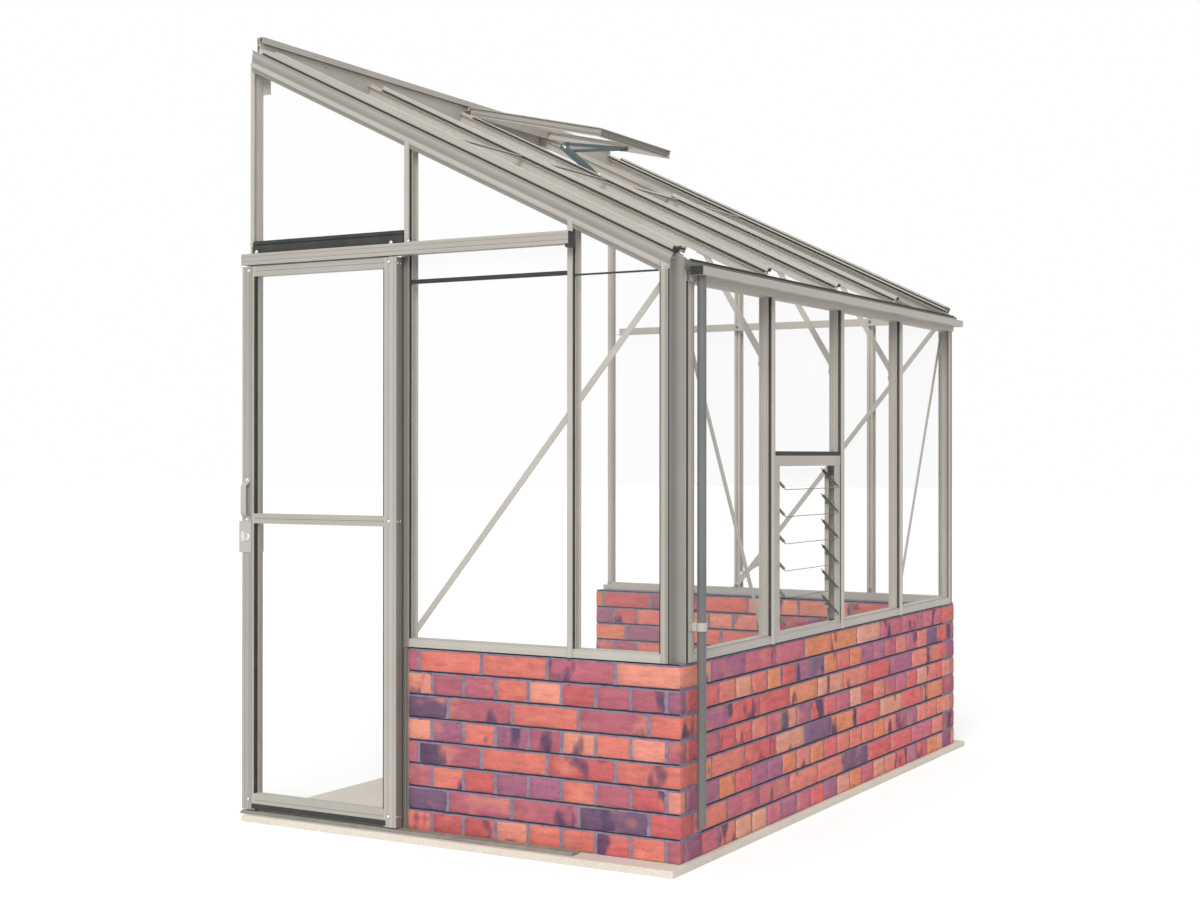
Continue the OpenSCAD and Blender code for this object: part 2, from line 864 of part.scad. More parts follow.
// stile section: x across the face from the outer edge, y from the front
module stile_section() {
    difference() {
        union() {
            square([41, door_depth]);
            translate([40, 4]) square([12, door_depth - 8]);
        }
        translate([2.2, 2.2]) square([36.6, door_depth - 4.4]);
        translate([44, 14]) square([9, glass_thickness]);
    }
}

door_right = door_left + door_width;

module door_stiles() {
    color(alu) on_slab() translate([0, 0, 13]) {
        translate([door_left, door_front, 0]) linear_extrude(door_height) stile_section();
        translate([door_right, door_front, 0]) mirror([1, 0, 0])
            linear_extrude(door_height) stile_section();
    }
}

rails = [[26, 70], [mid_rail_z, mid_rail_z + 34], [door_height - 21, door_height + 7]];
roller_x = [door_left + 72, door_right - 72];

module door_rails() {
    color(alu) {
        for (rail = rails) {
            difference() {
                block([door_left + 52, door_front + 4, rail[0]],
                    [door_right - 52, door_front + door_depth - 4, rail[1]]);
                block([door_left + 50, door_front + 6, rail[0] + 10],
                    [door_right - 50, door_front + door_depth - 6, rail[1] - 10]);
                block([door_left + 50, door_front + 14, rail[1] - 8],
                    [door_right - 50, door_front + 14 + glass_thickness, rail[1] + 1]);
                block([door_left + 50, door_front + 14, rail[0] - 1],
                    [door_right - 50, door_front + 14 + glass_thickness, rail[0] + 8]);
            }
        }
        for (x = roller_x) {
            block([x - 15, -34, rails[2][1] - 9], [x + 15, -30, roller_z + 9]);
            on_slab() translate([x, -30, roller_z]) rotate([-90, 0, 0])
                cylinder(r = 3, h = 14.5, $fn = 24);
            block([x - 12, -35, 5], [x + 12, -31.5, 27]);
        }
    }
}

roller_z = track_bottom + 3 + roller_radius + running_gap;

module door_glass() {
    color(clear, 0.3) {
        block([door_left + 46, door_front + 14, rails[0][1] - 6],
            [door_right - 46, door_front + 14 + glass_thickness, rails[1][0] + 6]);
        block([door_left + 46, door_front + 14, rails[1][1] - 6],
            [door_right - 46, door_front + 14 + glass_thickness, rails[2][0] + 6]);
    }
}

module door_brush() {
    color(seal) {
        block([door_left + 52, door_front + 6, 11], [door_right - 52, door_front + 10, 26]);
        block([door_right - 9, door_front + door_depth, 60], [door_right - 2, -12, 1840]);
        block([door_left + 2, door_front + door_depth, 60], [door_left + 9, -12, 1840]);
    }
}

// bow handle: a bar bent out from the stile between two feet
module door_handle() {
    color("#d8d4ca") on_slab() translate([door_left + 16, door_front, mid_rail_z + 9])
        rotate([90, 0, 90]) linear_extrude(14)
            polygon([[0, 0], [0, 12.5], [-20, 26], [-20, 115], [-0.1, 128.5], [0, 128.5],
                [0, 144], [-3, 144], [-3, 130], [-23, 116.5], [-23, 24.5], [-3, 11], [-3, 0]]);
}

module lock_plates() {
    color(alu) {
        difference() {
            block([door_left - 11, door_front - 3, lock_z - 53],
                [door_left + 41, door_front, lock_z + 55]);
            on_slab() translate([lock_x, door_front + 1, lock_z]) rotate([90, 0, 0])
                cylinder(r = 8 + running_gap, h = 6, $fn = 32);
        }
    }
}

lock_x = door_left + 25;
lock_z = mid_rail_z - 47;

module lock_cylinder() {
    color("#d8d4ca") on_slab() translate([lock_x, door_front - 0.3, lock_z])
        rotate([90, 0, 0]) difference() {
            cylinder(r = 8, h = 7, $fn = 32);
            translate([-0.8, -5, 4]) cube([1.6, 10, 4]);
        }
}

// round screw head on the front of the door
module front_screw(x, y, z, radius) {
    translate([x, y, z]) rotate([90, 0, 0]) cylinder(r = radius, h = 1.5, $fn = 24);
}

module door_screws() {
    color("#d8d4ca") on_slab() {
        for (rail = rails) front_screw(door_right - 20, door_front, (rail[0] + rail[1]) / 2, 4.5);
        for (rail = [rails[0], rails[2]]) {
            front_screw(door_left + 20, door_front, (rail[0] + rail[1]) / 2, 4.5);
        }
        for (up = [14, 148]) {
            front_screw(door_left + 23, door_front - 3, mid_rail_z + up, 3.5);
        }
        for (rail = rails) for (y = [-42, -27]) {
            translate([door_right, y, (rail[0] + rail[1]) / 2]) rotate([0, 90, 0])
                cylinder(r = 3.5, h = 1.2, $fn = 24);
        }
    }
}

module roller(x) {
    color(seal) on_slab() translate([x, -26, roller_z]) rotate([-90, 0, 0]) difference() {
        cylinder(r = roller_radius, h = 9, $fn = 40);
        translate([0, 0, -1]) cylinder(r = 3 + running_gap, h = 11, $fn = 24);
    }
}

module door_roller_left() {
    roller(roller_x[0]);
}

module door_roller_right() {
    roller(roller_x[1]);
}

// ---- roof vent, drawn from its hinge with X down the slope ----

vent_low = -28;
vent_top = vent_low + vent_depth;
vent_from = second_bar + 4.2;
vent_to = third_bar - 4.2;

module on_vent() {
    on_slab() translate([hinge_x, 0, roof_z(hinge_x, hinge_n)])
        rotate([0, roof_pitch - vent_open, 0]) children();
}

module vent_side_section() {
    translate([0, vent_low]) square([20, 3]);
    translate([8, vent_low]) square([4, vent_depth]);
    translate([0, vent_top - 3]) square([20, 3]);
    translate([12, vent_top - 9]) square([8, 2]);
}

// carries a section (x, z) across the vent between two places
module across_vent(from, to) {
    translate([0, to, 0]) rotate([90, 0, 0]) linear_extrude(to - from) children();
}

module vent_frame() {
    color(alu) on_vent() {
        translate([22, vent_from, 0]) rotate([90, 0, 90])
            linear_extrude(vent_length - 22) vent_side_section();
        translate([22, vent_to, 0]) rotate([90, 0, 90])
            linear_extrude(vent_length - 22) mirror([1, 0]) vent_side_section();
        across_vent(vent_from + 20.2, vent_to - 20.2) difference() {
            translate([22, vent_low]) square([18, vent_depth]);
            translate([24, vent_low + 2]) square([14, vent_depth - 5]);
        }
        across_vent(vent_from + 20.2, vent_to - 20.2) union() {
            circle(r = 5, $fn = 32);
            translate([0, 2.5]) square([22, 2.5]);
        }
        across_vent(vent_from + 20.2, vent_to - 20.2) {
            translate([vent_length - 12, vent_low]) square([3, vent_depth]);
            translate([vent_length - 30, vent_top - 3]) square([30, 3]);
            translate([vent_length - 12, vent_low]) square([12, 3]);
            translate([vent_length - 20, vent_top - 9]) square([8, 2]);
        }
        translate([0, opener_y + 12, 0]) rotate([90, 0, 0]) linear_extrude(3) difference() {
            union() {
                translate([eye_down, eye_under]) circle(r = 11, $fn = 40);
                translate([eye_down - 8, eye_under + 8]) square([16, vent_low - eye_under - 8]);
                translate([eye_down - 8, vent_low - 3]) square([vent_length - eye_down - 4, 3]);
            }
            translate([eye_down, eye_under]) circle(r = 7.4, $fn = 40);
        }
    }
}

module vent_glass() {
    color(clear, 0.3) on_vent() translate([41, vent_from + 12.4, vent_top - 7])
        cube([vent_length - 54, vent_to - vent_from - 24.8, glass_thickness]);
}

opener_y = 1540;

function on_arm(a, b, t, off) = a + (b - a) * t
    + off * [-(b - a)[1], (b - a)[0]] / norm(b - a);

joint_point = [hinge_x + eye_down * cos(roof_pitch - vent_open)
        + eye_under * sin(roof_pitch - vent_open),
    roof_z(hinge_x, hinge_n) - eye_down * sin(roof_pitch - vent_open)
        + eye_under * cos(roof_pitch - vent_open)];

// long body of the opener from its foot pin to past the elbow
module opener_body() {
    color("#5c6d6c") {
        along_y(opener_y - 6, opener_y + 6) {
            union() {
                translate(opener_foot) circle(r = 8, $fn = 32);
                polygon([on_arm(opener_foot, opener_elbow, 0.02, 7),
                    on_arm(opener_foot, opener_elbow, 0.45, 13),
                    on_arm(opener_foot, opener_elbow, 1.0, 15),
                    on_arm(opener_foot, opener_elbow, 1.04, -6),
                    on_arm(opener_foot, opener_elbow, 0.45, -9),
                    on_arm(opener_foot, opener_elbow, 0.02, -7)]);
            }
        }
        along_y(opener_y + 6, opener_y + 15) translate(opener_elbow) circle(r = 3, $fn = 24);
    }
    color("#d8d4ca") on_slab() translate([opener_foot[0], opener_y + 9.2, opener_foot[1]])
        rotate([90, 0, 0]) cylinder(r = 3, h = 18.4, $fn = 24);
}

module opener_lower_arm() {
    color("#5c6d6c") {
        along_y(opener_y + 6.4, opener_y + 8.4) difference() {
            union() {
                translate(opener_elbow) circle(r = 8, $fn = 32);
                translate(joint_point) circle(r = 6, $fn = 32);
                polygon([on_arm(opener_elbow, joint_point, 0, 6),
                    on_arm(opener_elbow, joint_point, 1, 6),
                    on_arm(opener_elbow, joint_point, 1, -6),
                    on_arm(opener_elbow, joint_point, 0, -6)]);
            }
            translate(opener_elbow) circle(r = 3 + running_gap, $fn = 24);
        }
        along_y(opener_y + 8.4, opener_y + 16) translate(joint_point) circle(r = 3, $fn = 24);
    }
}

module opener_upper_arm() {
    color("#5c6d6c") along_y(opener_y + 8.4, opener_y + 10) difference() {
        polygon([opener_elbow + [-4, 9], opener_elbow + [-6, 22],
            joint_point + [-30, 12], joint_point + [-30, 4.5],
            opener_elbow + [20, 9]]);
        translate(opener_elbow) circle(r = 3 + running_gap, $fn = 24);
    }
}

// ---- louvre window in the second side bay ----

blade_from = first_bar + 68;
blade_to = second_bar - 69.4;
louvre_from = first_bar + bar_half;
louvre_to = second_bar - bar_half;

module louvre_frame() {
    color(alu) {
        block([-frame_depth + 2, louvre_from, louvre_head + 10], [-5, louvre_to, louvre_top - 15]);
        block([-5, louvre_from, louvre_head], [lip, louvre_to, louvre_top - 15]);
        block([-5, louvre_from, sill_slot], [0, louvre_to, louvre_sill]);
        block([-5, louvre_from, base_height + 27], [lip, louvre_to, louvre_sill]);
    }
}

// upright channel of the louvre, open towards the blades
module louvre_channel(y, turn) {
    on_slab() translate([0, y, louvre_sill]) mirror([0, turn, 0])
        linear_extrude(louvre_head - louvre_sill) difference() {
            translate([-36, 0]) square([38, 48.5]);
            translate([-34, 3]) square([33, 52]);
            translate([-40, 30]) square([20, 30]);
        }
}

module louvre_channels() {
    color(alu) difference() {
        union() {
            louvre_channel(louvre_from, 0);
            louvre_channel(louvre_to, 1);
            for (k = [0:5]) {
                block([-20, louvre_from + 3, pivot_z(k) - 6], [-7, blade_from - 10, pivot_z(k) + 6]);
                block([-20, blade_to + 10, pivot_z(k) - 6], [-7, louvre_to - 3, pivot_z(k) + 6]);
            }
            block([lever_pivot[0] - 6, 688, lever_pivot[2] - 7], [-35, 695, lever_pivot[2] + 7]);
            on_slab() translate([lever_pivot[0], 694, lever_pivot[2]]) rotate([-90, 0, 0])
                cylinder(r = 3, h = 12, $fn = 24);
        }
        for (k = [0:5]) {
            on_slab() translate([pivot_x, louvre_from + 4, pivot_z(k)]) rotate([-90, 0, 0])
                cylinder(r = 3 + running_gap, h = louvre_to - louvre_from - 8, $fn = 24);
        }
    }
}

function pivot_z(k) = first_pivot + k * blade_pitch;

// pane on its pivot line with a clip, stub and crank pin at each end
module blade(k) {
    on_slab() translate([pivot_x, 0, pivot_z(k)]) {
        rotate([0, -blade_tilt, 0]) {
            color(clear, 0.35) translate([-glass_thickness / 2, blade_from, -blade_height / 2])
                cube([glass_thickness, blade_to - blade_from, blade_height]);
            color("#8c8a84") {
                for (side = [[blade_from - 4, blade_from], [blade_to, blade_to + 4]]) {
                    translate([-5, side[0], -40]) cube([10, 4, 80]);
                }
            }
        }
        color("#8c8a84") {
            translate([0, blade_from - 15, 0]) rotate([-90, 0, 0])
                cylinder(r = 3, h = 11.5, $fn = 24);
            translate([0, blade_to + 3.5, 0]) rotate([-90, 0, 0])
                cylinder(r = 3, h = 11.5, $fn = 24);
            translate([-crank - 5, blade_to + 1, -4]) cube([crank + 5, 3, 8]);
            translate([-crank, blade_to + 3.5, 0]) rotate([-90, 0, 0])
                cylinder(r = 2, h = 5, $fn = 24);
        }
    }
}

module louvre_blade_1() { blade(0); }
module louvre_blade_2() { blade(1); }
module louvre_blade_3() { blade(2); }
module louvre_blade_4() { blade(3); }
module louvre_blade_5() { blade(4); }
module louvre_blade_6() { blade(5); }

module louvre_link() {
    color(alu) difference() {
        block([pivot_x - crank - 6, blade_to + 5, first_pivot - 14],
            [pivot_x - crank + 10, blade_to + 7.5, pivot_z(5) + 14]);
        for (k = [0:5]) {
            block([pivot_x - crank - 2.6, blade_to + 4, pivot_z(k) - 2.8],
                [pivot_x - crank + 6.6, blade_to + 9, pivot_z(k) + 2.8]);
        }
    }
}

lever_pivot = [-48, 700, first_pivot + 182];

module louvre_lever() {
    color(alu) {
        along_y(lever_pivot[1] - 2, lever_pivot[1] + 2) difference() {
            translate([lever_pivot[0], lever_pivot[2]]) polygon([[-8, -0.4], [0, 10.6],
                [8, 6.6], [7, -7.4], [-2, -11.4], [-70, -47.4], [-74, -40.4]]);
            translate([lever_pivot[0], lever_pivot[2]]) circle(r = 3 + running_gap, $fn = 24);
        }
    }
    color("#e8e6e0") along_y(lever_pivot[1] - 8, lever_pivot[1] + 8)
        translate([lever_pivot[0] - 78, lever_pivot[2] - 47.4]) circle(r = 9, $fn = 32);
}

slab();
wall_near();
wall_side();
wall_far();
sills();
corner_posts();
wall_posts();
door_jamb();
gable_bars();
side_bars();
wall_caps();
wall_plate();
gable_rafters();
roof_bars();
roof_caps();
cap_plugs();
eaves_gutter();
seals();
side_glass();
gable_glass();
roof_glass();
joint_strips();
diagonal_braces();
knee_braces();
far_tie();
door_track();
door_head_seal();
bottom_track();
end_stop();
gusset_plates();
vent_sill();
downpipe();
pipe_clip();
frame_bolts();
louvre_frame();
louvre_channels();
door_stiles();
door_rails();
door_glass();
door_brush();
door_handle();
lock_plates();
door_screws();
lock_cylinder();
door_roller_left();
door_roller_right();
vent_frame();
vent_glass();
opener_body();
opener_upper_arm();
opener_lower_arm();
louvre_blade_1();
louvre_blade_2();
louvre_blade_3();
louvre_blade_4();
louvre_blade_5();
louvre_blade_6();
louvre_link();
louvre_lever();
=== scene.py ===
import json
import math
from collections import namedtuple
import bmesh
import bpy
import numpy as np
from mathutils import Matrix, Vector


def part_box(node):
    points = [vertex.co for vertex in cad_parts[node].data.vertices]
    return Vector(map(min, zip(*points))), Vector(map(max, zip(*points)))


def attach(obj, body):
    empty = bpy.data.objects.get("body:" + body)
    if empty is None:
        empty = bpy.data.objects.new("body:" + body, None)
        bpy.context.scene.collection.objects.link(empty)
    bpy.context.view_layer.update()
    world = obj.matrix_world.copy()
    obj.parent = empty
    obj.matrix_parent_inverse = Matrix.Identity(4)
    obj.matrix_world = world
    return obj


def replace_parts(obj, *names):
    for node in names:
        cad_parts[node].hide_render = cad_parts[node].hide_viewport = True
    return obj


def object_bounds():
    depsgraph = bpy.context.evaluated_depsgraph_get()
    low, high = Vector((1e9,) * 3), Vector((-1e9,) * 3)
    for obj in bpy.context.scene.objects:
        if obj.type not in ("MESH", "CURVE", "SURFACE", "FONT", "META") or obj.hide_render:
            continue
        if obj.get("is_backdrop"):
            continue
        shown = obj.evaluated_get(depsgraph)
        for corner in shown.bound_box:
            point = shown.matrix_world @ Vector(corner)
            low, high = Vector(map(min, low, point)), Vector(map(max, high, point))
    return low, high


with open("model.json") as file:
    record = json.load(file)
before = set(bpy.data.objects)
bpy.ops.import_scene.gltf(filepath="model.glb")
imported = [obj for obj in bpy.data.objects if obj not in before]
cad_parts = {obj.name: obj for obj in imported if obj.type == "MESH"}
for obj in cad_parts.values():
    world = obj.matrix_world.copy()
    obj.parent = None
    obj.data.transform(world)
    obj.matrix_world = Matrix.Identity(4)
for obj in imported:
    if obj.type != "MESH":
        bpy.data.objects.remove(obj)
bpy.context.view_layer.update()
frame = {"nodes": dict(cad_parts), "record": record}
print("stage: frame loaded")

slab = 0.022  # everything stands on the slab


def at(x, y, z):
    # millimetres above the slab to metres in the shared frame
    return np.array([x, y, z + slab * 1000]) / 1000


def linearColor(red, green, blue):
    # sRGB bytes to linear: ((c + 0.055) / 1.055) ^ 2.4 above 0.04045, c / 12.92 below
    c = np.array([red, green, blue], float) / 255
    c = np.where(c > 0.04045, ((c + 0.055) / 1.055) ** 2.4, c / 12.92)
    return (float(c[0]), float(c[1]), float(c[2]), 1.0)


finishParts = namedtuple("finishParts", "owner nodes links shader")


def startFinish(name):
    mat = bpy.data.materials.new(name)
    mat.use_nodes = True
    tree = mat.node_tree
    return finishParts(mat, tree.nodes, tree.links, tree.nodes["Principled BSDF"])


def feed(f, socket, value):
    # another node's output is linked, a constant is set
    if isinstance(value, bpy.types.NodeSocket):
        f.links.new(value, socket)
    else:
        socket.default_value = value


def feedShader(f, values):
    for name, value in values.items():
        feed(f, f.shader.inputs[name], value)
    return f.owner


def noiseField(f, scale, detail=4.0, rough=0.55, stretch=(1, 1, 1), shift=None):
    # fractal noise on Object coordinates, moved by a shift and stretched along the axes
    place, noise = f.nodes.new("ShaderNodeMapping"), f.nodes.new("ShaderNodeTexNoise")
    where = f.nodes.new("ShaderNodeTexCoord").outputs["Object"]
    if shift is not None:
        add = f.nodes.new("ShaderNodeVectorMath")
        f.links.new(where, add.inputs[0])
        f.links.new(shift, add.inputs[1])
        where = add.outputs[0]
    place.inputs["Scale"].default_value = stretch
    for name, value in (("Scale", scale), ("Detail", detail), ("Roughness", rough)):
        noise.inputs[name].default_value = value
    f.links.new(where, place.inputs["Vector"])
    f.links.new(place.outputs["Vector"], noise.inputs["Vector"])
    return noise.outputs["Fac"]


def rampBetween(f, field, *stops):
    # each stop is a place and a colour, or a place and one grey value
    ramp = f.nodes.new("ShaderNodeValToRGB")
    points = ramp.color_ramp.elements
    while len(points) < len(stops):
        points.new(0.5)
    for point, (where, color) in zip(points, stops):
        point.position = where
        point.color = color if isinstance(color, tuple) else (color, color, color, 1)
    f.links.new(field, ramp.inputs["Fac"])
    return ramp.outputs["Color"]


def mixColors(f, blend, factor, a, b):
    mix = f.nodes.new("ShaderNodeMix")
    mix.data_type = "RGBA"
    mix.blend_type = blend
    for k, value in ((0, factor), (6, a), (7, b)):
        feed(f, mix.inputs[k], value)
    return mix.outputs[2]


def mathNode(f, operation, *values):
    node = f.nodes.new("ShaderNodeMath")
    node.operation = operation
    for socket, value in zip(node.inputs, values):
        feed(f, socket, value)
    return node.outputs[0]


def anyRay(f, *kinds):
    # 1 where the ray is of any of these kinds
    path = f.nodes.new("ShaderNodeLightPath")
    seen = path.outputs[kinds[0]]
    for kind in kinds[1:]:
        seen = mathNode(f, "MAXIMUM", seen, path.outputs[kind])
    return seen


def addBump(f, field, depth, strength):
    bump = f.nodes.new("ShaderNodeBump")
    bump.inputs["Distance"].default_value = depth
    bump.inputs["Strength"].default_value = strength
    f.links.new(field, bump.inputs["Height"])
    f.links.new(bump.outputs["Normal"], f.shader.inputs["Normal"])


# coated, plastic and metal faces: two tones in sRGB, gloss, and the scale of grain and patches
coats = {
    "alu": dict(light=(203, 198, 189), dark=(194, 189, 179), rough=0.48),
    "slate": dict(light=(104, 115, 117), dark=(86, 98, 100), rough=0.42),
    "blackPlastic": dict(light=(58, 58, 57), dark=(44, 44, 44), rough=0.5, patch=9.0),
    "rubber": dict(light=(66, 66, 64), dark=(50, 50, 49), rough=0.75, patch=20.0),
    "greyPlastic": dict(light=(124, 125, 124), dark=(110, 111, 110), rough=0.4),
    "whitePlastic": dict(light=(236, 236, 232), dark=(226, 226, 221), rough=0.35),
    "clip": dict(light=(128, 127, 122), dark=(112, 111, 107), rough=0.45, patch=14.0),
    # a darker grey copy of the alu coat for the bottom track, painted shade
    "threshold": dict(light=(160, 157, 147), dark=(140, 137, 128), rough=0.55, patch=22.0),
    "brightSteel": dict(light=(238, 240, 243), dark=(214, 216, 219), rough=0.24, metal=0.75, grain=500.0,
                        patch=40.0),
    "dullSteel": dict(light=(150, 150, 149), dark=(120, 120, 119), rough=0.36, metal=0.9, grain=500.0,
                      patch=40.0),
}


def coatedFinish(name, light, dark, rough, metal=0.0, grain=900.0, patch=3.0):
    # two tones in clouds, gloss that follows them, and a fine grain
    f = startFinish(name)
    cloud = noiseField(f, patch, 5.0)
    addBump(f, noiseField(f, grain, 2.0), 0.0001, 0.35)
    return feedShader(f, {
        "Base Color": rampBetween(f, cloud, (0.35, linearColor(*dark)), (0.65, linearColor(*light))),
        "Roughness": rampBetween(f, cloud, (0.3, rough - 0.05), (0.7, rough + 0.06)), "Metallic": metal})


def shadePaintedFinish():
    # the alu coat with painted shade: a point attribute runs from the deepest painted shade (0) to the lit
    # face (1)
    f = startFinish("shadePaintedCoat")
    hollow = f.nodes.new("ShaderNodeAttribute")
    hollow.attribute_name = "hollow"
    cloud = noiseField(f, 3.0, 5.0)
    # painted shade greys, from the deepest shade to the lit alu
    depths = ((70, 69, 66), (103, 101, 96), (135, 132, 126), (168, 164, 156), (201, 196, 187))
    tone = rampBetween(f, hollow.outputs["Fac"], *[(k / 4, linearColor(*c)) for k, c in enumerate(depths)])
    patch = rampBetween(f, cloud, (0.35, (0.93, 0.93, 0.925, 1)), (0.65, 1.0))
    addBump(f, noiseField(f, 900.0, 2.0), 0.0001, 0.35)
    return feedShader(f, {"Base Color": mixColors(f, "MULTIPLY", 1.0, tone, patch),
                          "Roughness": rampBetween(f, cloud, (0.3, 0.43), (0.7, 0.54))})


def glassFinish():
    # thin clear pane: a low alpha keeps the room lit, smudges vary the gloss
    f = startFinish("clearGlass")
    smudge = noiseField(f, 2.2, 6.0, 0.6, (1, 1, 0.6))
    return feedShader(f, {"Base Color": linearColor(246, 250, 249), "IOR": 1.5, "Alpha": 0.035,
                          "Roughness": rampBetween(f, smudge, (0.35, 0.03), (0.75, 0.10))})


def edgeFinish():
    # ground glass edge: dark sea green, nearly opaque, with a fine grind
    f = startFinish("glassEdge")
    grind = noiseField(f, 700.0, 3.0)
    tone = rampBetween(f, grind, (0.3, linearColor(62, 84, 78)), (0.7, linearColor(96, 122, 114)))
    return feedShader(f, {"Base Color": tone, "Roughness": 0.3, "Alpha": 0.9})


def stoneFinish():
    # pale paving: broad stains, sand grains and pin holes
    f = startFinish("paleStone")
    cloud, sand = noiseField(f, 2.6, 6.0, 0.6), noiseField(f, 260.0, 4.0, 0.7)
    base = rampBetween(f, cloud, (0.3, linearColor(232, 224, 210)), (0.7, linearColor(245, 238, 226)))
    speck = rampBetween(f, sand, (0.36, (0.72, 0.70, 0.66, 1)), (0.55, 1.0))
    addBump(f, sand, 0.0012, 0.5)
    return feedShader(f, {"Base Color": mixColors(f, "MULTIPLY", 0.55, base, speck), "Roughness": 0.88})


coat = {name: coatedFinish(name, **values) for name, values in coats.items()}
shadePaintedCoat, clearGlass, glassEdge, paleStone = shadePaintedFinish(), glassFinish(), edgeFinish(), stoneFinish()
print("stage: finishes made")

# the CAD nodes keep their shape and get a finish
finishOfSlot = {"alu": coat["alu"], "brick": paleStone, "stone": paleStone, "rubber": coat["rubber"],
                "black_plastic": coat["blackPlastic"], "glass": clearGlass, "steel": coat["dullSteel"],
                "grey_plastic": coat["greyPlastic"], "slate_paint": coat["slate"],
                "bright": coat["brightSteel"]}
slotOfNode = {part["node"]: part["material_slot"] for part in frame["record"]["subparts"]}
for name, node in frame["nodes"].items():
    node.data.materials.clear()
    # the bottom track takes the darker grey coat that paints its shade
    finish = coat["threshold"] if name == "bottom_track" else finishOfSlot[slotOfNode[name]]
    node.data.materials.append(finish)


def newPiece(name, points, faces, finish, body="frame", smooth=35, slot=None, second=None, mask=None):
    mesh = bpy.data.meshes.new(name)
    mesh.from_pydata(np.asarray(points, float).tolist(), [], [list(q) for q in faces])
    mesh.materials.append(finish)
    if second:
        mesh.materials.append(second)
        mesh.polygons.foreach_set("material_index", np.asarray(mask, np.int32))
    shell = bmesh.new()
    shell.from_mesh(mesh)
    bmesh.ops.recalc_face_normals(shell, faces=shell.faces)
    shell.to_mesh(mesh)
    shell.free()
    piece = bpy.data.objects.new(name, mesh)
    bpy.context.scene.collection.objects.link(piece)
    if smooth:
        mesh.polygons.foreach_set("use_smooth", np.ones(len(mesh.polygons), bool))
        mesh.set_sharp_from_angle(angle=math.radians(smooth))
    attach(piece, body)
    return piece


def ringFaces(rings, around, first=0, closed=True):
    # quads between neighbouring rings: corner (i, j) joins (i, j+1), (i+1, j+1), (i+1, j)
    i, j = np.meshgrid(np.arange(rings - 1), np.arange(around if closed else around - 1), indexing="ij")
    k = (j + 1) % around
    quads = np.stack([i * around + j, i * around + k, (i + 1) * around + k, (i + 1) * around + j], -1)
    return (quads.reshape(-1, 4) + first).tolist()


def closedLoft(rings):
    # rings[m, n, 3]: m outlines of n points, the first and last filled as one face each
    rings = np.asarray(rings)
    m, n = rings.shape[:2]
    ends = [list(range(n))[::-1], [(m - 1) * n + k for k in range(n)]]
    return rings.reshape(-1, 3), ringFaces(m, n) + ends


def joinShapes(shapes):
    points, faces, first = [], [], 0
    for shapePoints, shapeFaces in shapes:
        points.append(shapePoints)
        faces += [[v + first for v in q] for q in shapeFaces]
        first += len(shapePoints)
    return np.concatenate(points), faces


def turned(profile, place, axis, around=24):
    # solid of revolution: place + h axis + r (cos t a + sin t b), t once round, r and h from the profile
    a = np.cross(axis, (0, 0, 1))
    b = np.cross(axis, a)
    t = np.linspace(0, 2 * np.pi, around, endpoint=False)[None, :, None]
    r, h = np.array(profile, float).T[:, :, None, None] / 1000
    return closedLoft(at(*place) + h * np.array(axis) + r * (np.cos(t) * a + np.sin(t) * b))


def hoopShape(profile, place, axis, around=40):
    # closed profile turned about an axis, so that the last ring meets the first
    points, faces = turned(list(profile) + [profile[0]], place, axis, around)
    return points, faces[:-2]


def carried(profile, path, side, up):
    # profile (p, q) in millimetres carried along a path: path[k] + p side[k] + q up[k]
    path, side, up = (np.asarray(v, float) for v in (path, side, up))
    p, q = np.array(profile, float).T[:, None, :, None] / 1000
    side, up = np.broadcast_to(side, path.shape), np.broadcast_to(up, path.shape)
    return closedLoft(path[:, None] + p * side[:, None] + q * up[:, None])


def flatShape(outline, depths):
    # an outline of (x, z) points repeated at each y
    return closedLoft([[at(x, y, z) for x, z in outline] for y in depths])


def roundedBox(wide, high, radius, steps=3):
    # outline of a rectangle with quarter-circle corners: corner + r (cos t, sin t)
    t = np.linspace(0, np.pi / 2, steps + 1)
    corners = [(1, 1, 0), (-1, 1, 1), (-1, -1, 2), (1, -1, 3)]
    return np.concatenate([np.stack([sx * (wide / 2 - radius) + radius * np.cos(t + k * np.pi / 2),
                                     sy * (high / 2 - radius) + radius * np.sin(t + k * np.pi / 2)], -1)
                           for sx, sy, k in corners])


def toneRow(tones):
    # the painted shade value that gives a wanted grey, 70 for the deepest shade and 201 for the lit face
    return (np.array(tones, float) - 70) / 131


def fluted(name, strips, body="frame"):
    # strips of (points, faces, painted shade per point) made one piece with the alu coat that carries painted
    # shade
    piece = newPiece(name, *joinShapes([q[:2] for q in strips]), shadePaintedCoat, body, slot="alu")
    tones = np.concatenate([q[2] for q in strips])
    piece.data.attributes.new("hollow", "FLOAT", "POINT").data.foreach_set("value", tones)
    return piece


def flutedStrip(section, ends, side, out, back=0.05):
    # section rows (p across, q out, painted shade tone) carried between two ends and closed by a flat back
    rows = np.array(section, float)
    line = np.concatenate([rows[:, :2], [[rows[-1, 0], -back], [rows[0, 0], -back]]])
    tones = toneRow(np.concatenate([rows[:, 2], rows[[-1, 0], 2]]))
    return *carried(line, ends, side, out), np.tile(tones, len(ends))


brickwork = {
    "course": 0.075, "joint": 0.010, "recess": 0.0035, "pitch": 0.245, "thickness": 0.150,
    "courses": 8, "rounding": 0.0035, "wander": 0.0007, "seed": 12,
    # first joint of each kind of course, and the joint in the end of a corner brick (0: none)
    "firstJoint": (0.093, 0.155, 0.093, 0.040), "endJoint": (0.042, 0.094, 0.042, 0),
    # share and tone of each kind of brick
    "tones": [(0.22, (236, 134, 122)), (0.20, (216, 112, 112)), (0.11, (246, 160, 140)),
              (0.19, (198, 114, 128)), (0.13, (176, 112, 138)), (0.05, (128, 98, 126)),
              (0.10, (240, 142, 108))],
}


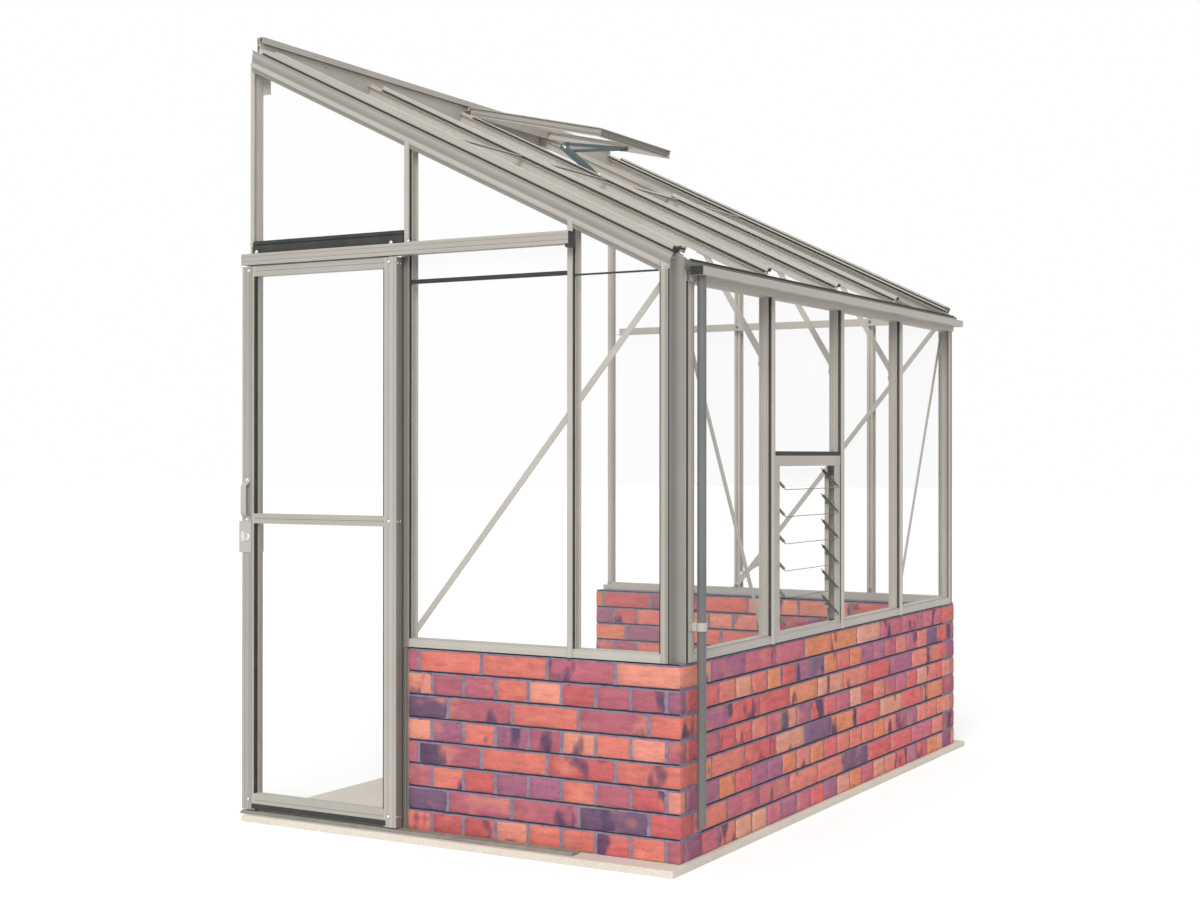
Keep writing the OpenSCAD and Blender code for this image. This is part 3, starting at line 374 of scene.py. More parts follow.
def brickFinish():
    # fired clay: its own tone and pattern per brick, kiln shadows, orange flame marks, pits and pale flecks
    f = startFinish("firedClay")
    tone, shift = f.nodes.new("ShaderNodeAttribute"), f.nodes.new("ShaderNodeAttribute")
    tone.attribute_name, shift.attribute_name = "tone", "shift"
    kiln, flame, streak, pit = (noiseField(f, *values, shift.outputs["Vector"]) for values in (
        (9.0, 2.5, 0.5, (1, 1, 0.55)), (7.0, 2.0, 0.5, (1, 1, 1.6)),
        (60.0, 4.0, 0.6, (0.25, 0.25, 1)), (230.0, 5.0, 0.7, (1, 1, 1))))
    heat = rampBetween(f, flame, (0.56, 0.0), (0.72, 0.55))
    base = mixColors(f, "MIX", heat, tone.outputs["Color"], linearColor(246, 164, 134))
    smoke = rampBetween(f, kiln, (0.315, 0.88), (0.355, 0.5), (0.385, 0.0))
    base = mixColors(f, "MIX", smoke, base, linearColor(86, 76, 108))
    grain = rampBetween(f, streak, (0.30, (0.74, 0.72, 0.80, 1)), (0.52, 1.0), (0.72, 1.16))
    base = mixColors(f, "MULTIPLY", 0.75, base, grain)
    speck = rampBetween(f, pit, (0.34, (0.42, 0.40, 0.50, 1)), (0.44, 1.0), (0.62, 1.0),
                        (0.70, (1.35, 1.5, 1.6, 1)))
    addBump(f, pit, 0.0030, 0.8)
    return feedShader(f, {"Base Color": mixColors(f, "MULTIPLY", 0.65, base, speck),
                          "Roughness": 0.85, "Specular IOR Level": 0.3})


def mortarFinish(name, shadowLined):
    # blue-grey lime mortar; where asked, each bed carries a painted shadow: a dark line right under the brick
    # above it
    f = startFinish(name)
    cloud = noiseField(f, 40.0, 6.0, 0.65)
    base = rampBetween(f, cloud, (0.3, linearColor(128, 119, 138)), (0.7, linearColor(166, 157, 174)))
    if shadowLined:
        parts = f.nodes.new("ShaderNodeSeparateXYZ")
        f.links.new(f.nodes.new("ShaderNodeTexCoord").outputs["Object"], parts.inputs[0])
        course, dark = brickwork["course"], (0.12, 0.09, 0.13, 1)
        phase = mathNode(f, "MULTIPLY_ADD", parts.outputs["Z"], 1 / course, -slab / course - 0.01)
        turn = mathNode(f, "FRACT", mathNode(f, "MULTIPLY_ADD", noiseField(f, 14.0, 3.0), 0.03, phase))
        # painted shadow: the dark band at the top of each bed, under the brick above
        line = rampBetween(f, turn, (0.0, dark), (0.006, 1.0), (0.922, 1.0), (0.948, dark))
        base = mixColors(f, "MULTIPLY", 0.95, base, line)
    addBump(f, noiseField(f, 420.0, 3.0, 0.7), 0.002, 0.6)
    return feedShader(f, {"Base Color": base, "Roughness": 0.95, "Specular IOR Level": 0.2})


firedClay = brickFinish()
limeMortar, capMortar = mortarFinish("limeMortar", True), mortarFinish("capMortar", False)
dice = np.random.default_rng(brickwork["seed"])


def brickShape(low, high):
    # a set-back rectangle of six points a side carried up the height, drawn in at both beds,
    # every point moved by a small random wander so the arrises run uneven
    r = brickwork["rounding"]
    low, high = np.array(low), np.array(high)
    mid, half = (low + high) / 2, (high - low) / 2
    run, ones = np.linspace(-1, 1, 6), np.ones(6)
    a, b = run * (half[0] - r), run * (half[1] - r)
    sides = ((a, -ones * half[1]), (ones * half[0], b), (-a, ones * half[1]), (-ones * half[0], -b))
    outline = np.concatenate([np.stack(v, -1) for v in sides])
    height = np.array([-1, -1, -1, -0.35, 0.35, 1, 1, 1]) * half[2]
    height += np.array([0, 0.35, 1, 0, 0, -1, -0.35, 0]) * r
    inset = r * np.array([0.9, 0.35, 0, 0, 0, 0, 0.35, 0.9])
    rings = np.zeros((8, 24, 3))
    rings[:, :, :2] = outline[None] - np.sign(outline)[None] * inset[:, None, None]
    rings[:, :, 2] = height[:, None]
    shift = np.abs(dice.normal(0, brickwork["wander"], (8, 24, 3))).clip(0, 0.0016)
    return closedLoft(rings + mid - shift * np.sign(rings))


def layWall(name, start, along, depth, length, shift, corner, paintedLightGain):
    # courses of headers and stretchers in turn; u runs along the wall, w through it
    b = brickwork
    g = b["joint"] / 2
    shapes, tones, shifts = [], [], []
    start, along, depth = (np.array(v) for v in (start, along, depth))
    weights = np.array([t[0] for t in b["tones"]])
    palette = np.array([linearColor(*t[1])[:3] for t in b["tones"]])
    for row in range(b["courses"]):
        unit = b["pitch"] if row % 2 else b["pitch"] / 2
        inner = np.arange(b["firstJoint"][row % 4] - shift, length - 0.04, unit)
        edges = np.concatenate([[0], inner[inner > 0.02], [length]])
        low = slab + row * b["course"] + (0 if row else 0.001)
        high = slab + (row + 1) * b["course"] - b["joint"]
        for u0, u1 in zip(edges[:-1], edges[1:]):
            last = u1 == edges[-1]
            split = b["endJoint"][row % 4] if corner and last else 0
            layers = [(0, split - g), (split + g, b["thickness"])] if split else [(0, b["thickness"])]
            for w0, w1 in layers:
                slack = dice.uniform(-0.0008, 0.0008, 2)
                points, faces = brickShape([u0 + (g + slack[0] if u0 > 0 else 0), w0, low],
                                           [u1 - (0 if last else g + slack[1]), w1, high])
                world = points.copy()
                world[:, :2] = start + points[:, :1] * along + points[:, 1:2] * depth
                shapes.append((world, faces))
                kind = dice.choice(len(weights), p=weights / weights.sum())
                # painted light: the gain raises a wall's brick tones to stand for light it doesn't get
                tone = palette[kind] * dice.uniform(0.92, 1.08) * paintedLightGain
                tones.append(np.tile(np.append(tone.clip(0, 0.96), 1), (len(points), 1)))
                shifts.append(np.tile(dice.uniform(-40, 40, 3), (len(points), 1)))
    piece = newPiece(name, *joinShapes(shapes), firedClay, smooth=50, slot="brick")
    toneField = piece.data.color_attributes.new("tone", "FLOAT_COLOR", "POINT")
    toneField.data.foreach_set("color", np.concatenate(tones).ravel())
    shiftField = piece.data.attributes.new("shift", "FLOAT_VECTOR", "POINT")
    shiftField.data.foreach_set("vector", np.concatenate(shifts).ravel())
    return piece


def fillMortar(name, start, along, depth, length):
    # core of mortar inside the bricks: depth of its faces = recess + 0.8 mm of slow waves
    b = brickwork
    n, m = int(length / 0.02), 60
    u = np.linspace(0.003, length - 0.003, n)
    z = np.linspace(slab + 0.001, slab + b["courses"] * b["course"] - 0.0005, m)
    uu, zz = np.meshgrid(u, z)
    wave = 0.0008 * np.sin(uu * 61 + np.sin(zz * 83) * 2) + 0.0006 * np.sin(zz * 190 + uu * 23)
    grids = []
    for face in (b["recess"] + wave, b["thickness"] - b["recess"] - wave):
        p = np.zeros((m, n, 3))
        p[..., :2] = np.array(start) + uu[..., None] * np.array(along) + face[..., None] * np.array(depth)
        p[..., 2] = zz
        grids.append(p.reshape(-1, 3))
    total = n * m
    rim = np.concatenate([np.arange(n), np.arange(1, m) * n + n - 1, (m - 1) * n + np.arange(n - 2, -1, -1),
                          np.arange(m - 2, 0, -1) * n])
    rimNext = np.roll(rim, -1)
    faces = ringFaces(m, n, 0, closed=False) + ringFaces(m, n, total, closed=False)
    mask = [0] * len(faces) + [1] * len(rim)
    faces += np.stack([rimNext, rim, rim + total, rimNext + total], -1).tolist()
    return newPiece(name, np.concatenate(grids), faces, limeMortar, second=capMortar, mask=mask, slot="brick")


nearLow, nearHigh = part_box("wall_near")
sideLow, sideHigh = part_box("wall_side")
farLow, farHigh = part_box("wall_far")
# name, node, start, way along, way through, length, shift of the joints, corner bricks, gain of the tones
# (painted light: 1.3 lifts the side wall's bricks to look as lit as the near wall)
walls = [
    ("Near", "wall_near", (nearLow.x, nearLow.y), (1, 0), (0, 1), nearHigh.x - nearLow.x, 0, True, 1.0),
    ("Side", "wall_side", (sideHigh.x, sideLow.y), (0, 1), (-1, 0), sideHigh.y - sideLow.y,
     brickwork["thickness"] + 0.065, False, 1.3),
    ("Far", "wall_far", (farLow.x, farHigh.y), (1, 0), (0, -1), farHigh.x - farLow.x, 0, True, 1.0),
]
for tag, node, start, along, depth, length, shift, corner, paintedLightGain in walls:
    bricks = layWall("bricks" + tag, start, along, depth, length, shift, corner, paintedLightGain)
    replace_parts(bricks, node)
    fillMortar("mortar" + tag, start, along, depth, length)
print("stage: brickwork laid")


paving = {"wear": 0.0014, "edge": 0.002, "points": 60}


def pavedSlab():
    # outline of the slab sampled all round and carried up its edge, then drawn to the middle;
    # the edge wanders by worn, slow sines and the top dips by 0.3 mm waves
    low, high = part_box("slab")
    q = np.linspace(0, 1, paving["points"], endpoint=False)
    one = np.ones_like(q)
    loop = np.concatenate([np.stack(v, -1) for v in ((q, 0 * one), (one, q), (1 - q, one), (0 * one, 1 - q))])
    size = np.array([high.x - low.x, high.y - low.y])
    flat = np.array([low.x, low.y]) + loop * size
    middle = np.array([low.x, low.y]) + size / 2
    inward = (middle - flat) / np.abs(middle - flat).max(0)
    k = np.arange(len(flat))
    wear = paving["wear"] * (0.5 + 0.5 * np.sin(k * 1.7 + 2 * np.sin(k * 0.37)))[:, None]
    rings = []
    for z, back in ((0, 0.001), (0.002, 0), (0.5, 0), (0.86, 0.0003), (0.96, 0.0009), (1.0, paving["edge"])):
        ring = np.zeros((len(flat), 3))
        ring[:, :2] = flat + inward * (back + wear * (0.35 + 0.65 * z))
        ring[:, 2] = low.z + z * (high.z - low.z)
        rings.append(ring)
    edge = rings[-1]
    for shrink in (0.97, 0.9, 0.8, 0.65, 0.5, 0.35, 0.2, 0.05):
        ring = edge.copy()
        ring[:, :2] = middle + (ring[:, :2] - middle) * shrink
        ring[:, 2] = high.z - 0.00015 * (1 + np.sin(ring[:, 0] * 31) * np.sin(ring[:, 1] * 27))
        rings.append(ring)
    return newPiece("pavedSlab", *closedLoft(rings), paleStone, smooth=30, slot="stone")


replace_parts(pavedSlab(), "slab")


# millimetre places shared by the fittings
doorLeft, doorRight, doorFront, midRail, farY = -1661.0, -1010.4, -50.0, 993.0, 2574.0
sideBars = (669.0, 1284.4, 1899.8)
toViewer, across, upward = (0, -1, 0), (1, 0, 0), (0, 0, 1)
fixings = {"screwRadius": 6.0, "screwHeight": 3.2, "boltAcross": 11.5, "boltHeight": 4.0, "washer": 7.6}


def domeHead(where, axis, radius=0):
    # washer, then a dome r cos a wide and h sin a high, with a round drive hole in its top
    r = radius or fixings["screwRadius"]
    h = fixings["screwHeight"] * r / fixings["screwRadius"]
    a = np.linspace(0, 1.25, 7)
    dome = list(zip(r * np.cos(a), 0.35 + (h - 0.35) * np.sin(a) / math.sin(1.25)))
    rim = [(r * 1.12, -0.2), (r * 1.12, 0.35)]
    drive = [(r * 0.26, h), (r * 0.22, h * 0.5), (0.02, h * 0.45)]
    return turned(rim + dome + drive, where, axis, 20)


def boltHead(where, axis):
    # round washer, then a hexagon r(t) = (across / 2) / cos((t mod 60) - 30),
    # with its top corners cut by a circle
    f = fixings
    t = np.linspace(0, 2 * np.pi, 24, endpoint=False)
    hexagon = f["boltAcross"] / 2 / np.cos(np.mod(t, np.pi / 3) - np.pi / 6)
    top = np.minimum(hexagon, f["boltAcross"] * 0.51)
    rows = [(f["washer"], -0.2), (f["washer"], 0.7), (f["washer"] - 0.3, 0.9), (hexagon, 0.9),
            (hexagon, f["boltHeight"] - 0.7), (top, f["boltHeight"]), (top * 0.3, f["boltHeight"])]
    a = np.cross(axis, upward)
    b = np.cross(axis, a)
    return closedLoft([at(*where) + (np.array(axis) * h + np.outer(np.cos(t) * r, a)
                                     + np.outer(np.sin(t) * r, b)) / 1000 for r, h in rows])


def screwShadowRings(places, axis, radius):
    # painted shadow round each head: a dark countersunk ring, a low wedge profile turned about the screw
    r = radius
    profile = [(r * 1.12, -0.2), (r * 1.42, -0.2), (r * 1.40, 0.62), (r * 1.24, 0.78), (r * 1.12, 0.4)]
    return [hoopShape(profile, p, axis, 24) for p in places]


screwHeights = (48, 1010, 1858)
faceScrews = [(doorRight - 31, doorFront, z) for z in screwHeights]
faceScrews += [(doorLeft + 27, doorFront, z) for z in screwHeights[::2]]
edgeScrews = [(doorRight, y, z) for y in (-42, -27) for z in (48, 1010, 1852)]
doorHeads = ([domeHead(p, toViewer) for p in faceScrews]
             + [domeHead((doorLeft + 23, doorFront - 3, midRail + up), toViewer, 5.2) for up in (14, 148)]
             + [domeHead(p, across, 3.4) for p in edgeScrews])
doorScrewHeads = newPiece("doorScrewHeads", *joinShapes(doorHeads), coat["brightSteel"], "door", slot="steel")
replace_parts(doorScrewHeads, "door_screws")

trackPlaces = ((-1634, -10, 1926), (-1062, -10, 1925), (-993, -11, 1926))
trackHeads = [domeHead(p, toViewer) for p in trackPlaces]
newPiece("trackScrewHeads", *joinShapes(trackHeads), coat["brightSteel"], slot="steel")
# dark rings of painted shadow round the door and track screw heads
for name, places, body in (("doorScrewSeats", faceScrews, "door"), ("trackScrewSeats", trackPlaces, "frame")):
    shadowRings = screwShadowRings(places, toViewer, fixings["screwRadius"])
    newPiece(name, *joinShapes(shadowRings), coat["dullSteel"], body, slot="steel")

# bolts of the gussets, the far tie, the knee braces and the diagonal braces
gussetLow = 2479.97
inNear, inFar, inSide = (0, 1, 0), (0, -1, 0), (-1, 0, 0)
boltPlaces = [((-1640, y, gussetLow + up), way) for y, way in ((51, inNear), (farY - 51, inFar))
              for up in (20, 60)]
boltPlaces += [((x, farY - 43, 1808), inFar) for x in (-1560, -1001, -365)]
boltPlaces += [((-43, y, 1532), inSide) for y in sideBars]
boltPlaces += [((-43, 668, 665), inSide), ((-43, 1994, 648), inSide), ((-1001, 43, 644), inNear),
               ((-1003, farY - 43, 637), inFar), ((-40, sideBars[1], 642), inSide),
               ((-365, farY - 40, 642), inFar), ((-380, 40, 642), inNear)]
boltHeads = joinShapes([boltHead(*p) for p in boltPlaces])
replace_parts(newPiece("frameBoltHeads", *boltHeads, coat["dullSteel"], slot="steel"), "frame_bolts")
print("stage: fixings turned")


handle = {"wide": 23.0, "thick": 3.0, "proud": 21.5, "bend": 7.0}


def easedPath(corners, reach):
    # straight runs joined by curves: (1-t)^2 a + 2t(1-t) corner + t^2 b, a and b the reach away on each side
    c = np.array(corners, float)
    t = np.linspace(0, 1, 6)[:, None]
    points = [c[:1]]
    for k in range(1, len(c) - 1):
        back, on = c[k - 1] - c[k], c[k + 1] - c[k]
        step = min(reach, np.linalg.norm(back) * 0.49, np.linalg.norm(on) * 0.49)
        a, b = c[k] + back / np.linalg.norm(back) * step, c[k] + on / np.linalg.norm(on) * step
        points.append((1 - t) ** 2 * a + 2 * t * (1 - t) * c[k] + t ** 2 * b)
    return np.concatenate(points + [c[-1:]])


def bowHandle():
    # a flat strap: rounded section carried along an eased path in the y-z plane
    foot, out = doorFront - handle["thick"] / 2, doorFront - handle["proud"]
    corners = [(foot, 0), (foot, 12), (out, 22), (out, 121), (foot, 131), (foot, 146)]
    yz = easedPath(corners, handle["bend"])
    tangent = np.gradient(yz, axis=0)
    tangent /= np.linalg.norm(tangent, axis=1)[:, None]
    path = [at(doorLeft + 23, y, midRail + 9 + z) for y, z in yz]
    up = np.stack([0 * tangent[:, 0], -tangent[:, 1], tangent[:, 0]], -1)
    strap = carried(roundedBox(handle["wide"], handle["thick"], 1.1), path, across, up)
    return newPiece("bowHandle", *strap, coat["alu"], "door", slot="alu")


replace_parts(bowHandle(), "door_handle")

lock = {"x": doorLeft + 25, "z": midRail - 47, "barrel": 8.0, "rose": 13.4, "ovalWide": 6.6, "ovalHigh": 19.0}


def lockBarrel():
    # stepped barrel with a round rim, and a key slot standing in its face
    w = lock["barrel"]
    profile = [(w, 0.3), (w, 6.0), (w - 0.5, 6.8), (w - 1.6, 7.0), (w - 2.0, 6.4), (0.02, 6.4)]
    barrel = turned(profile, (lock["x"], doorFront, lock["z"]), toViewer, 40)
    keySlot = flatShape(roundedBox(1.6, 9.0, 0.7) + (lock["x"], lock["z"]),
                        (doorFront - 6.45, doorFront - 6.65))
    mask = [0] * len(barrel[1]) + [1] * len(keySlot[1])
    return newPiece("lockBarrel", *joinShapes([barrel, keySlot]), coat["brightSteel"], "lock",
                    second=coat["blackPlastic"], mask=mask, slot="steel")


def lockRose():
    # silver rose: an open ring round the barrel
    w, r = lock["barrel"] + 0.6, lock["rose"]
    profile = [(w, 0.5), (r, 0.5), (r, 4.4), (r - 0.9, 5.4), (w + 1.4, 5.6), (w, 4.8)]
    ring = hoopShape(profile, (lock["x"], doorFront - 3, lock["z"]), toViewer)
    return newPiece("lockRose", *ring, coat["brightSteel"], "door", slot="steel")


def lockOval():
    # white cover: superellipse |x/a|^3 + |z/b|^3 = 1 drawn in as it rises
    t = np.linspace(0, 2 * np.pi, 48, endpoint=False)
    wide, high = lock["ovalWide"], lock["ovalHigh"]
    radius = (np.abs(np.cos(t) / wide) ** 3 + np.abs(np.sin(t) / high) ** 3) ** (-1 / 3)
    outline = np.stack([radius * np.cos(t), radius * np.sin(t)], -1)
    rises = ((0.2, 1.0), (2.6, 1.0), (3.4, 0.94), (3.8, 0.82), (3.9, 0.4))
    rings = [[at(lock["x"] - 20 + x, doorFront - 3 - rise, lock["z"] + z) for x, z in outline * scale]
             for rise, scale in rises]
    return newPiece("lockOval", *closedLoft(rings), coat["whitePlastic"], "door", slot="alu")


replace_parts(lockBarrel(), "lock_cylinder")
lockRose()
lockOval()
print("stage: handle and lock made")


brushes = {"tuftGap": 2.4, "tuftWidth": 1.5, "lean": 0.7}


def brushStrip(a, b, out, depth, seed):
    # a holder along a-b and a row of tapered three-sided tufts; each tip leans by a random bit
    rng = np.random.default_rng(seed)
    a, b, out, depth = (np.array(v, float) for v in (a, b, out, depth))
    length, reach, thick = (np.linalg.norm(v) for v in (b - a, out, depth))
    along, lift, side = (b - a) / length, out / reach, depth / thick
    ends = [at(*(p + lift * reach * 0.2 + depth / 2)) for p in (a, b)]
    holder = carried(roundedBox(thick, reach * 0.4, 0.3), ends, side, lift)
    n = int(length / brushes["tuftGap"])
    u = (np.arange(n) + 0.5) * length / n
    foot = a + u[:, None] * along + lift * reach * 0.36 + depth * rng.uniform(0.3, 0.7, (n, 1))
    tip = foot + lift * reach * rng.uniform(0.55, 0.63, (n, 1))
    tip += along * rng.normal(0, brushes["lean"], (n, 1))
    w = brushes["tuftWidth"] / 2
    corners = (-along * w, along * w, side * w)
    points = np.stack([foot + c for c in corners] + [tip + c * 0.3 for c in corners], 1).reshape(-1, 3)
    quads = [(0, 1, 4, 3), (1, 2, 5, 4), (2, 0, 3, 5), (3, 4, 5)]
    faces = [[v + 6 * k for v in q] for k in range(n) for q in quads]
    return [holder, ((points + (0, 0, slab * 1000)) / 1000, faces)]


def doorBrushes():
    rows = brushStrip((doorLeft + 52, -44, 26), (doorRight - 52, -44, 26), (0, 0, -15), (0, 4, 0), 3)
    for x in (doorRight - 9, doorLeft + 2):
        rows += brushStrip((x, -17, 60), (x, -17, 1840), (0, 5, 0), (7, 0, 0), int(-x))
    return newPiece("doorBrushes", *joinShapes(rows), coat["rubber"], "door", slot="rubber")


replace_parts(doorBrushes(), "door_brush")

wheel = {"radius": 13.0, "wide": 9.0, "bore": 3.4, "groove": 0.9}


def doorRoller(x):
    # a closed wheel profile turned about its pin: hub, web, rim with a running groove
    r, w, b, g = wheel["radius"], wheel["wide"], wheel["bore"], wheel["groove"]
    half = [(b, 0), (b + 2.6, 0), (b + 3.2, 1.4), (r - 3, 1.4), (r - 2.4, 0), (r - 0.5, 0), (r, 0.6),
            (r, 2.2), (r - g, 3.2)]
    return hoopShape(half + [(p, w - h) for p, h in half[::-1]], (x, -26, 1894.4), (0, 1, 0), 48)


for side, x in (("left", doorLeft + 72), ("right", doorRight - 72)):
    roller = newPiece(side + "Roller", *doorRoller(x), coat["blackPlastic"], "roller_" + side,
                      slot="black_plastic")
    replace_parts(roller, "door_roller_" + side)
print("stage: brushes and rollers made")


ribs = {"rise": 0.6, "groove": 1.3, "depth": 0.45}


def ribbedFace(edges, tones, grooves, dark=118):
    # flat lands (edges[k] to edges[k + 1], each with its painted shade tone) cut by narrow grooves whose
    # floor is painted darker as shade
    rise, w, floor = ribs["rise"], ribs["groove"] / 2, ribs["rise"] - ribs["depth"]
    rows = [(edges[0], 0, tones[0]), (edges[0] + 0.3, rise, tones[0])]
    for k, tone in enumerate(tones):
        for g in grooves:
            if edges[k] < g < edges[k + 1]:
                rows += [(g - w, rise, tone), (g - w + 0.1, floor, dark), (g + w - 0.1, floor, dark),
                         (g + w, rise, tone)]
        if k + 1 < len(tones):
            rows += [(edges[k + 1] - 0.1, rise, tone), (edges[k + 1] + 0.1, rise, tones[k + 1])]
    return rows + [(edges[-1] - 0.3, rise, tones[-1]), (edges[-1], 0, tones[-1])]


def upright(x, y, low, high):
    return [at(x, y, z) for z in (low, high)]


def level(low, high, y, z=0):
    return [at(x, y, z) for x in (low, high)]


# painted shade: lit and shaded greys on the stile faces, darker greys on the stile sides, darkest in the
# groove floors
stileFaces = []
for x, way, tones in ((doorLeft, 1, (190, 180, 172)), (doorRight, -1, (192, 198, 192))):
    stile = upright(x, doorFront, 13.2, 1871.8)
    face = ribbedFace((0, 10, 33, 41), tones, (11, 31), 128)
    edge = ribbedFace((0, 16, 33), (150, 138), (5, 15.5, 27), 84)
    stileFaces.append(flutedStrip(face, stile, (way, 0, 0), toViewer))
    stileFaces.append(flutedStrip(edge, stile, (0, 1, 0), (-way, 0, 0)))
fluted("stileFaces", stileFaces, "door")

# each rail: its foot, its head, and the height of its line, a groove painted dark as shade
railFaces = []
for low, high, line in ((26, 70, 21), (midRail, midRail + 34, 17), (1838, 1866, 18)):
    ends = level(doorLeft + 52.2, doorRight - 52.2, doorFront + 4, low)
    railFaces.append(flutedStrip(ribbedFace((0, high - low), (190,), (line,), 104), ends, upward, toViewer))
fluted("railFaces", railFaces, "door")

# painted shade: the upper land lit, the lower land a little darker, and darker groove floors
trackFace = ribbedFace((1881.6, 1890, 1912.4), (196, 190), (1889.6, 1906), 150)
fluted("trackFace", [flutedStrip(trackFace, level(doorLeft - 4.3, doorLeft + 1300.8, -52), upward, toViewer)])


def doorGaskets():
    # black gasket round each pane: an L on the inner lip of the stiles, and a wiper under the bottom rail
    shapes = []
    for x, way, foot in ((doorLeft + 46, 1, 3), (doorRight - 46, -1, 6.6)):
        angle = [(foot, -0.2), (8.4, -0.2), (8.4, 14), (7.0, 14), (7.0, 1.2), (foot, 1.2)]
        for low, high in ((70.5, midRail - 0.5), (midRail + 34.5, 1837.5)):
            shapes.append(carried(angle, upright(x, doorFront + 2.8, low, high), (way, 0, 0), (0, 1, 0)))
    wiper = [(0, -1.6), (14, -1.6), (15.5, -0.4), (17, -0.1), (17, 0.6), (0, 0.6)]
    ends = level(doorLeft + 41.5, doorRight - 41.5, doorFront + 3.2, 17.5)
    shapes.append(carried(wiper, ends, upward, (0, 1, 0)))
    return newPiece("doorGaskets", *joinShapes(shapes), coat["rubber"], "door", slot="rubber")


def doorHeadLip():
    # ledge that closes the gap between the top rail and the track, with its two lines; its greys are painted
    # shade, darkest at the top under the track
    section = [(0, -0.4, 150), (0.3, 9, 150), (2.2, 9.6, 190), (8.6, 9.6, 186), (9.2, 8.0, 96),
               (10.8, 8.0, 92), (11.2, 6, 90)]
    ends = level(doorLeft + 41.5, doorRight - 41.5, -36, 1864.5)
    return fluted("doorHeadLip", [flutedStrip(section, ends, upward, toViewer)], "door")


def jambShadeFacing():
    # ribbed face of the door jamb: grooved brush channel beside the brick, and over the bar above it, in dark
    # greys that are painted shade
    left, wallTop, head = -1019.5, 600.6, 1877
    brickEdge = nearLow.x * 1000 - 0.7
    low = ribbedFace((0, 5, 11, brickEdge - left), (128, 112, 132), (2.5, 6.5, 9.5, 14), 70)
    high = ribbedFace((0, 5, 12, 20, 29.3), (128, 114, 150, 144), (2.5, 6.5, 9.5, 15, 21), 78)
    wing = ribbedFace((0, 8), (128,), (4,), 78)
    return fluted("jambShadeFacing", [
        flutedStrip(low, upright(left, -9.5, 3.4, 599), across, toViewer, 9.2),
        flutedStrip(high, upright(left, -11.2, wallTop, head), across, toViewer),
        flutedStrip(wing, upright(-1013.4, -11.2, wallTop, head), (0, 1, 0), (-1, 0, 0), 1.2)])


doorGaskets()
doorHeadLip()
jambShadeFacing()

cove = {"radius": 35.6, "pitch": 25.85, "eaves": 1772.7, "topX": -1660.0, "wallTop": 600.6}
pitch, eaves = math.radians(cove["pitch"]), cove["eaves"]


def slopePoint(s, n, y):
    # slope position s and level n to X and Z: X = -s cos p + n sin p, Z = eaves + s sin p + n cos p
    return at(-s * math.cos(pitch) + n * math.sin(pitch), y,
              eaves + s * math.sin(pitch) + n * math.cos(pitch))


def roofHeight(x, n):
    # height of level n over a given x
    return eaves - x * math.tan(pitch) + n / math.cos(pitch)


def slopeStrip(rows, foot, head):
    # rows (n, y) carried up the slope; an end is a slope position, or below 0 an x where it is cut upright
    def place(end, n):
        return end if end > 0 else (n * math.sin(pitch) - end) / math.cos(pitch)
    return closedLoft([[slopePoint(place(end, row[0]), *row[:2]) for row in rows] for end in (foot, head)])


def rafterStrip(rows, foot, head=cove["topX"]):
    # the same with a tone in each row
    return *slopeStrip(rows, foot, head), np.tile(toneRow([r[2] for r in rows]), 2)


def mirrored(shape):
    # the same shape in the far gable
    points = shape[0].copy()
    points[:, 1] = farY / 1000 - points[:, 1]
    return points, *shape[1:]


ribFoot, ribHead = 54.0, 1817.0


def rafterShadeLining():
    # lower lip, ledge, cove lining y = -3.2 + 3.6 sin^2 of its way up, and the top rib, all as (level, y,
    # tone); the tones are painted shade, darkest in the lining under the ledge
    lip = [(-21, -0.1, 160), (-21, -2.6, 160), (-17, -3.2, 150), (-9, -3.2, 144),
           (-8.2, -3.0, 130), (-8.2, -0.1, 130)]
    ledge = [(-8.2, -0.1, 180), (-8.2, -5.0, 192), (-6.4, -6.2, 201), (4, -6.2, 200), (8.6, -5.4, 192),
             (9.8, -3.6, 160), (9.8, -0.1, 160)]
    lining = [(9.8, -4.4, 170), (12.5, -3.9, 152), (17, -3.6, 150), (23, -3.4, 163), (29, -3.2, 168)]
    lining += [(29 + 17.6 * a, -3.2 + 3.6 * math.sin(math.pi * a) ** 2, 168 + 12 * a)
               for a in np.linspace(0, 1, 9)[1:]]
    back = [(46.6, 2.4, 176), (38, 2.4, 170), (29.4, 0.2, 168), (29.2, -2.9, 168), (9.8, -2.9, 160)]
    rib = [(46.4, 33, 190), (46.4, -1.6, 190), (53.2, -1.6, 150), (53.6, -4.2, 176), (54.8, -5.2, 186),
           (64.4, -5.2, 188), (66.2, -4.0, 190), (66.2, 37.4, 190)]
    strips = [rafterStrip(lip, -66), rafterStrip(ledge, -66), rafterStrip(lining + back, 48.4),
              rafterStrip(rib, ribFoot, ribHead)]
    return fluted("rafterShadeLining", strips + [mirrored(q) for q in strips])


def rafterGasket():
    # black gasket below the top rib: a round-nosed section carried up both rafters
    rows = [(46.6, -1.4), (46.6, -2.8), (47.6, -3.9), (52, -4.0), (53.1, -3.0), (53.1, -1.4)]
    strip = slopeStrip(rows, ribFoot, ribHead)
    return newPiece("rafterGasket", *joinShapes([strip, mirrored(strip)]), coat["rubber"], slot="rubber")


rafterShadeLining()
rafterGasket()

caps = {"wide": 18.0, "low": 54.0, "high": 67.0, "foot": 40.0, "ventEnd": 1141.0,
        "top": 1620 / math.cos(pitch)}


def capRows(y, low, high, w):
    # bar cap: sides, a bead at the foot of each, a chamfer and two fine grooves along the top
    half = [(low, w), (low + 1.4, w + 0.5), (low + 2.8, w), (high - 3, w), (high, w - 3), (high, 4.4),
            (high - 0.8, 3.8), (high, 3.2)]
    return [(n, y + q) for n, q in half] + [(n, y - q) for n, q in half[::-1]]


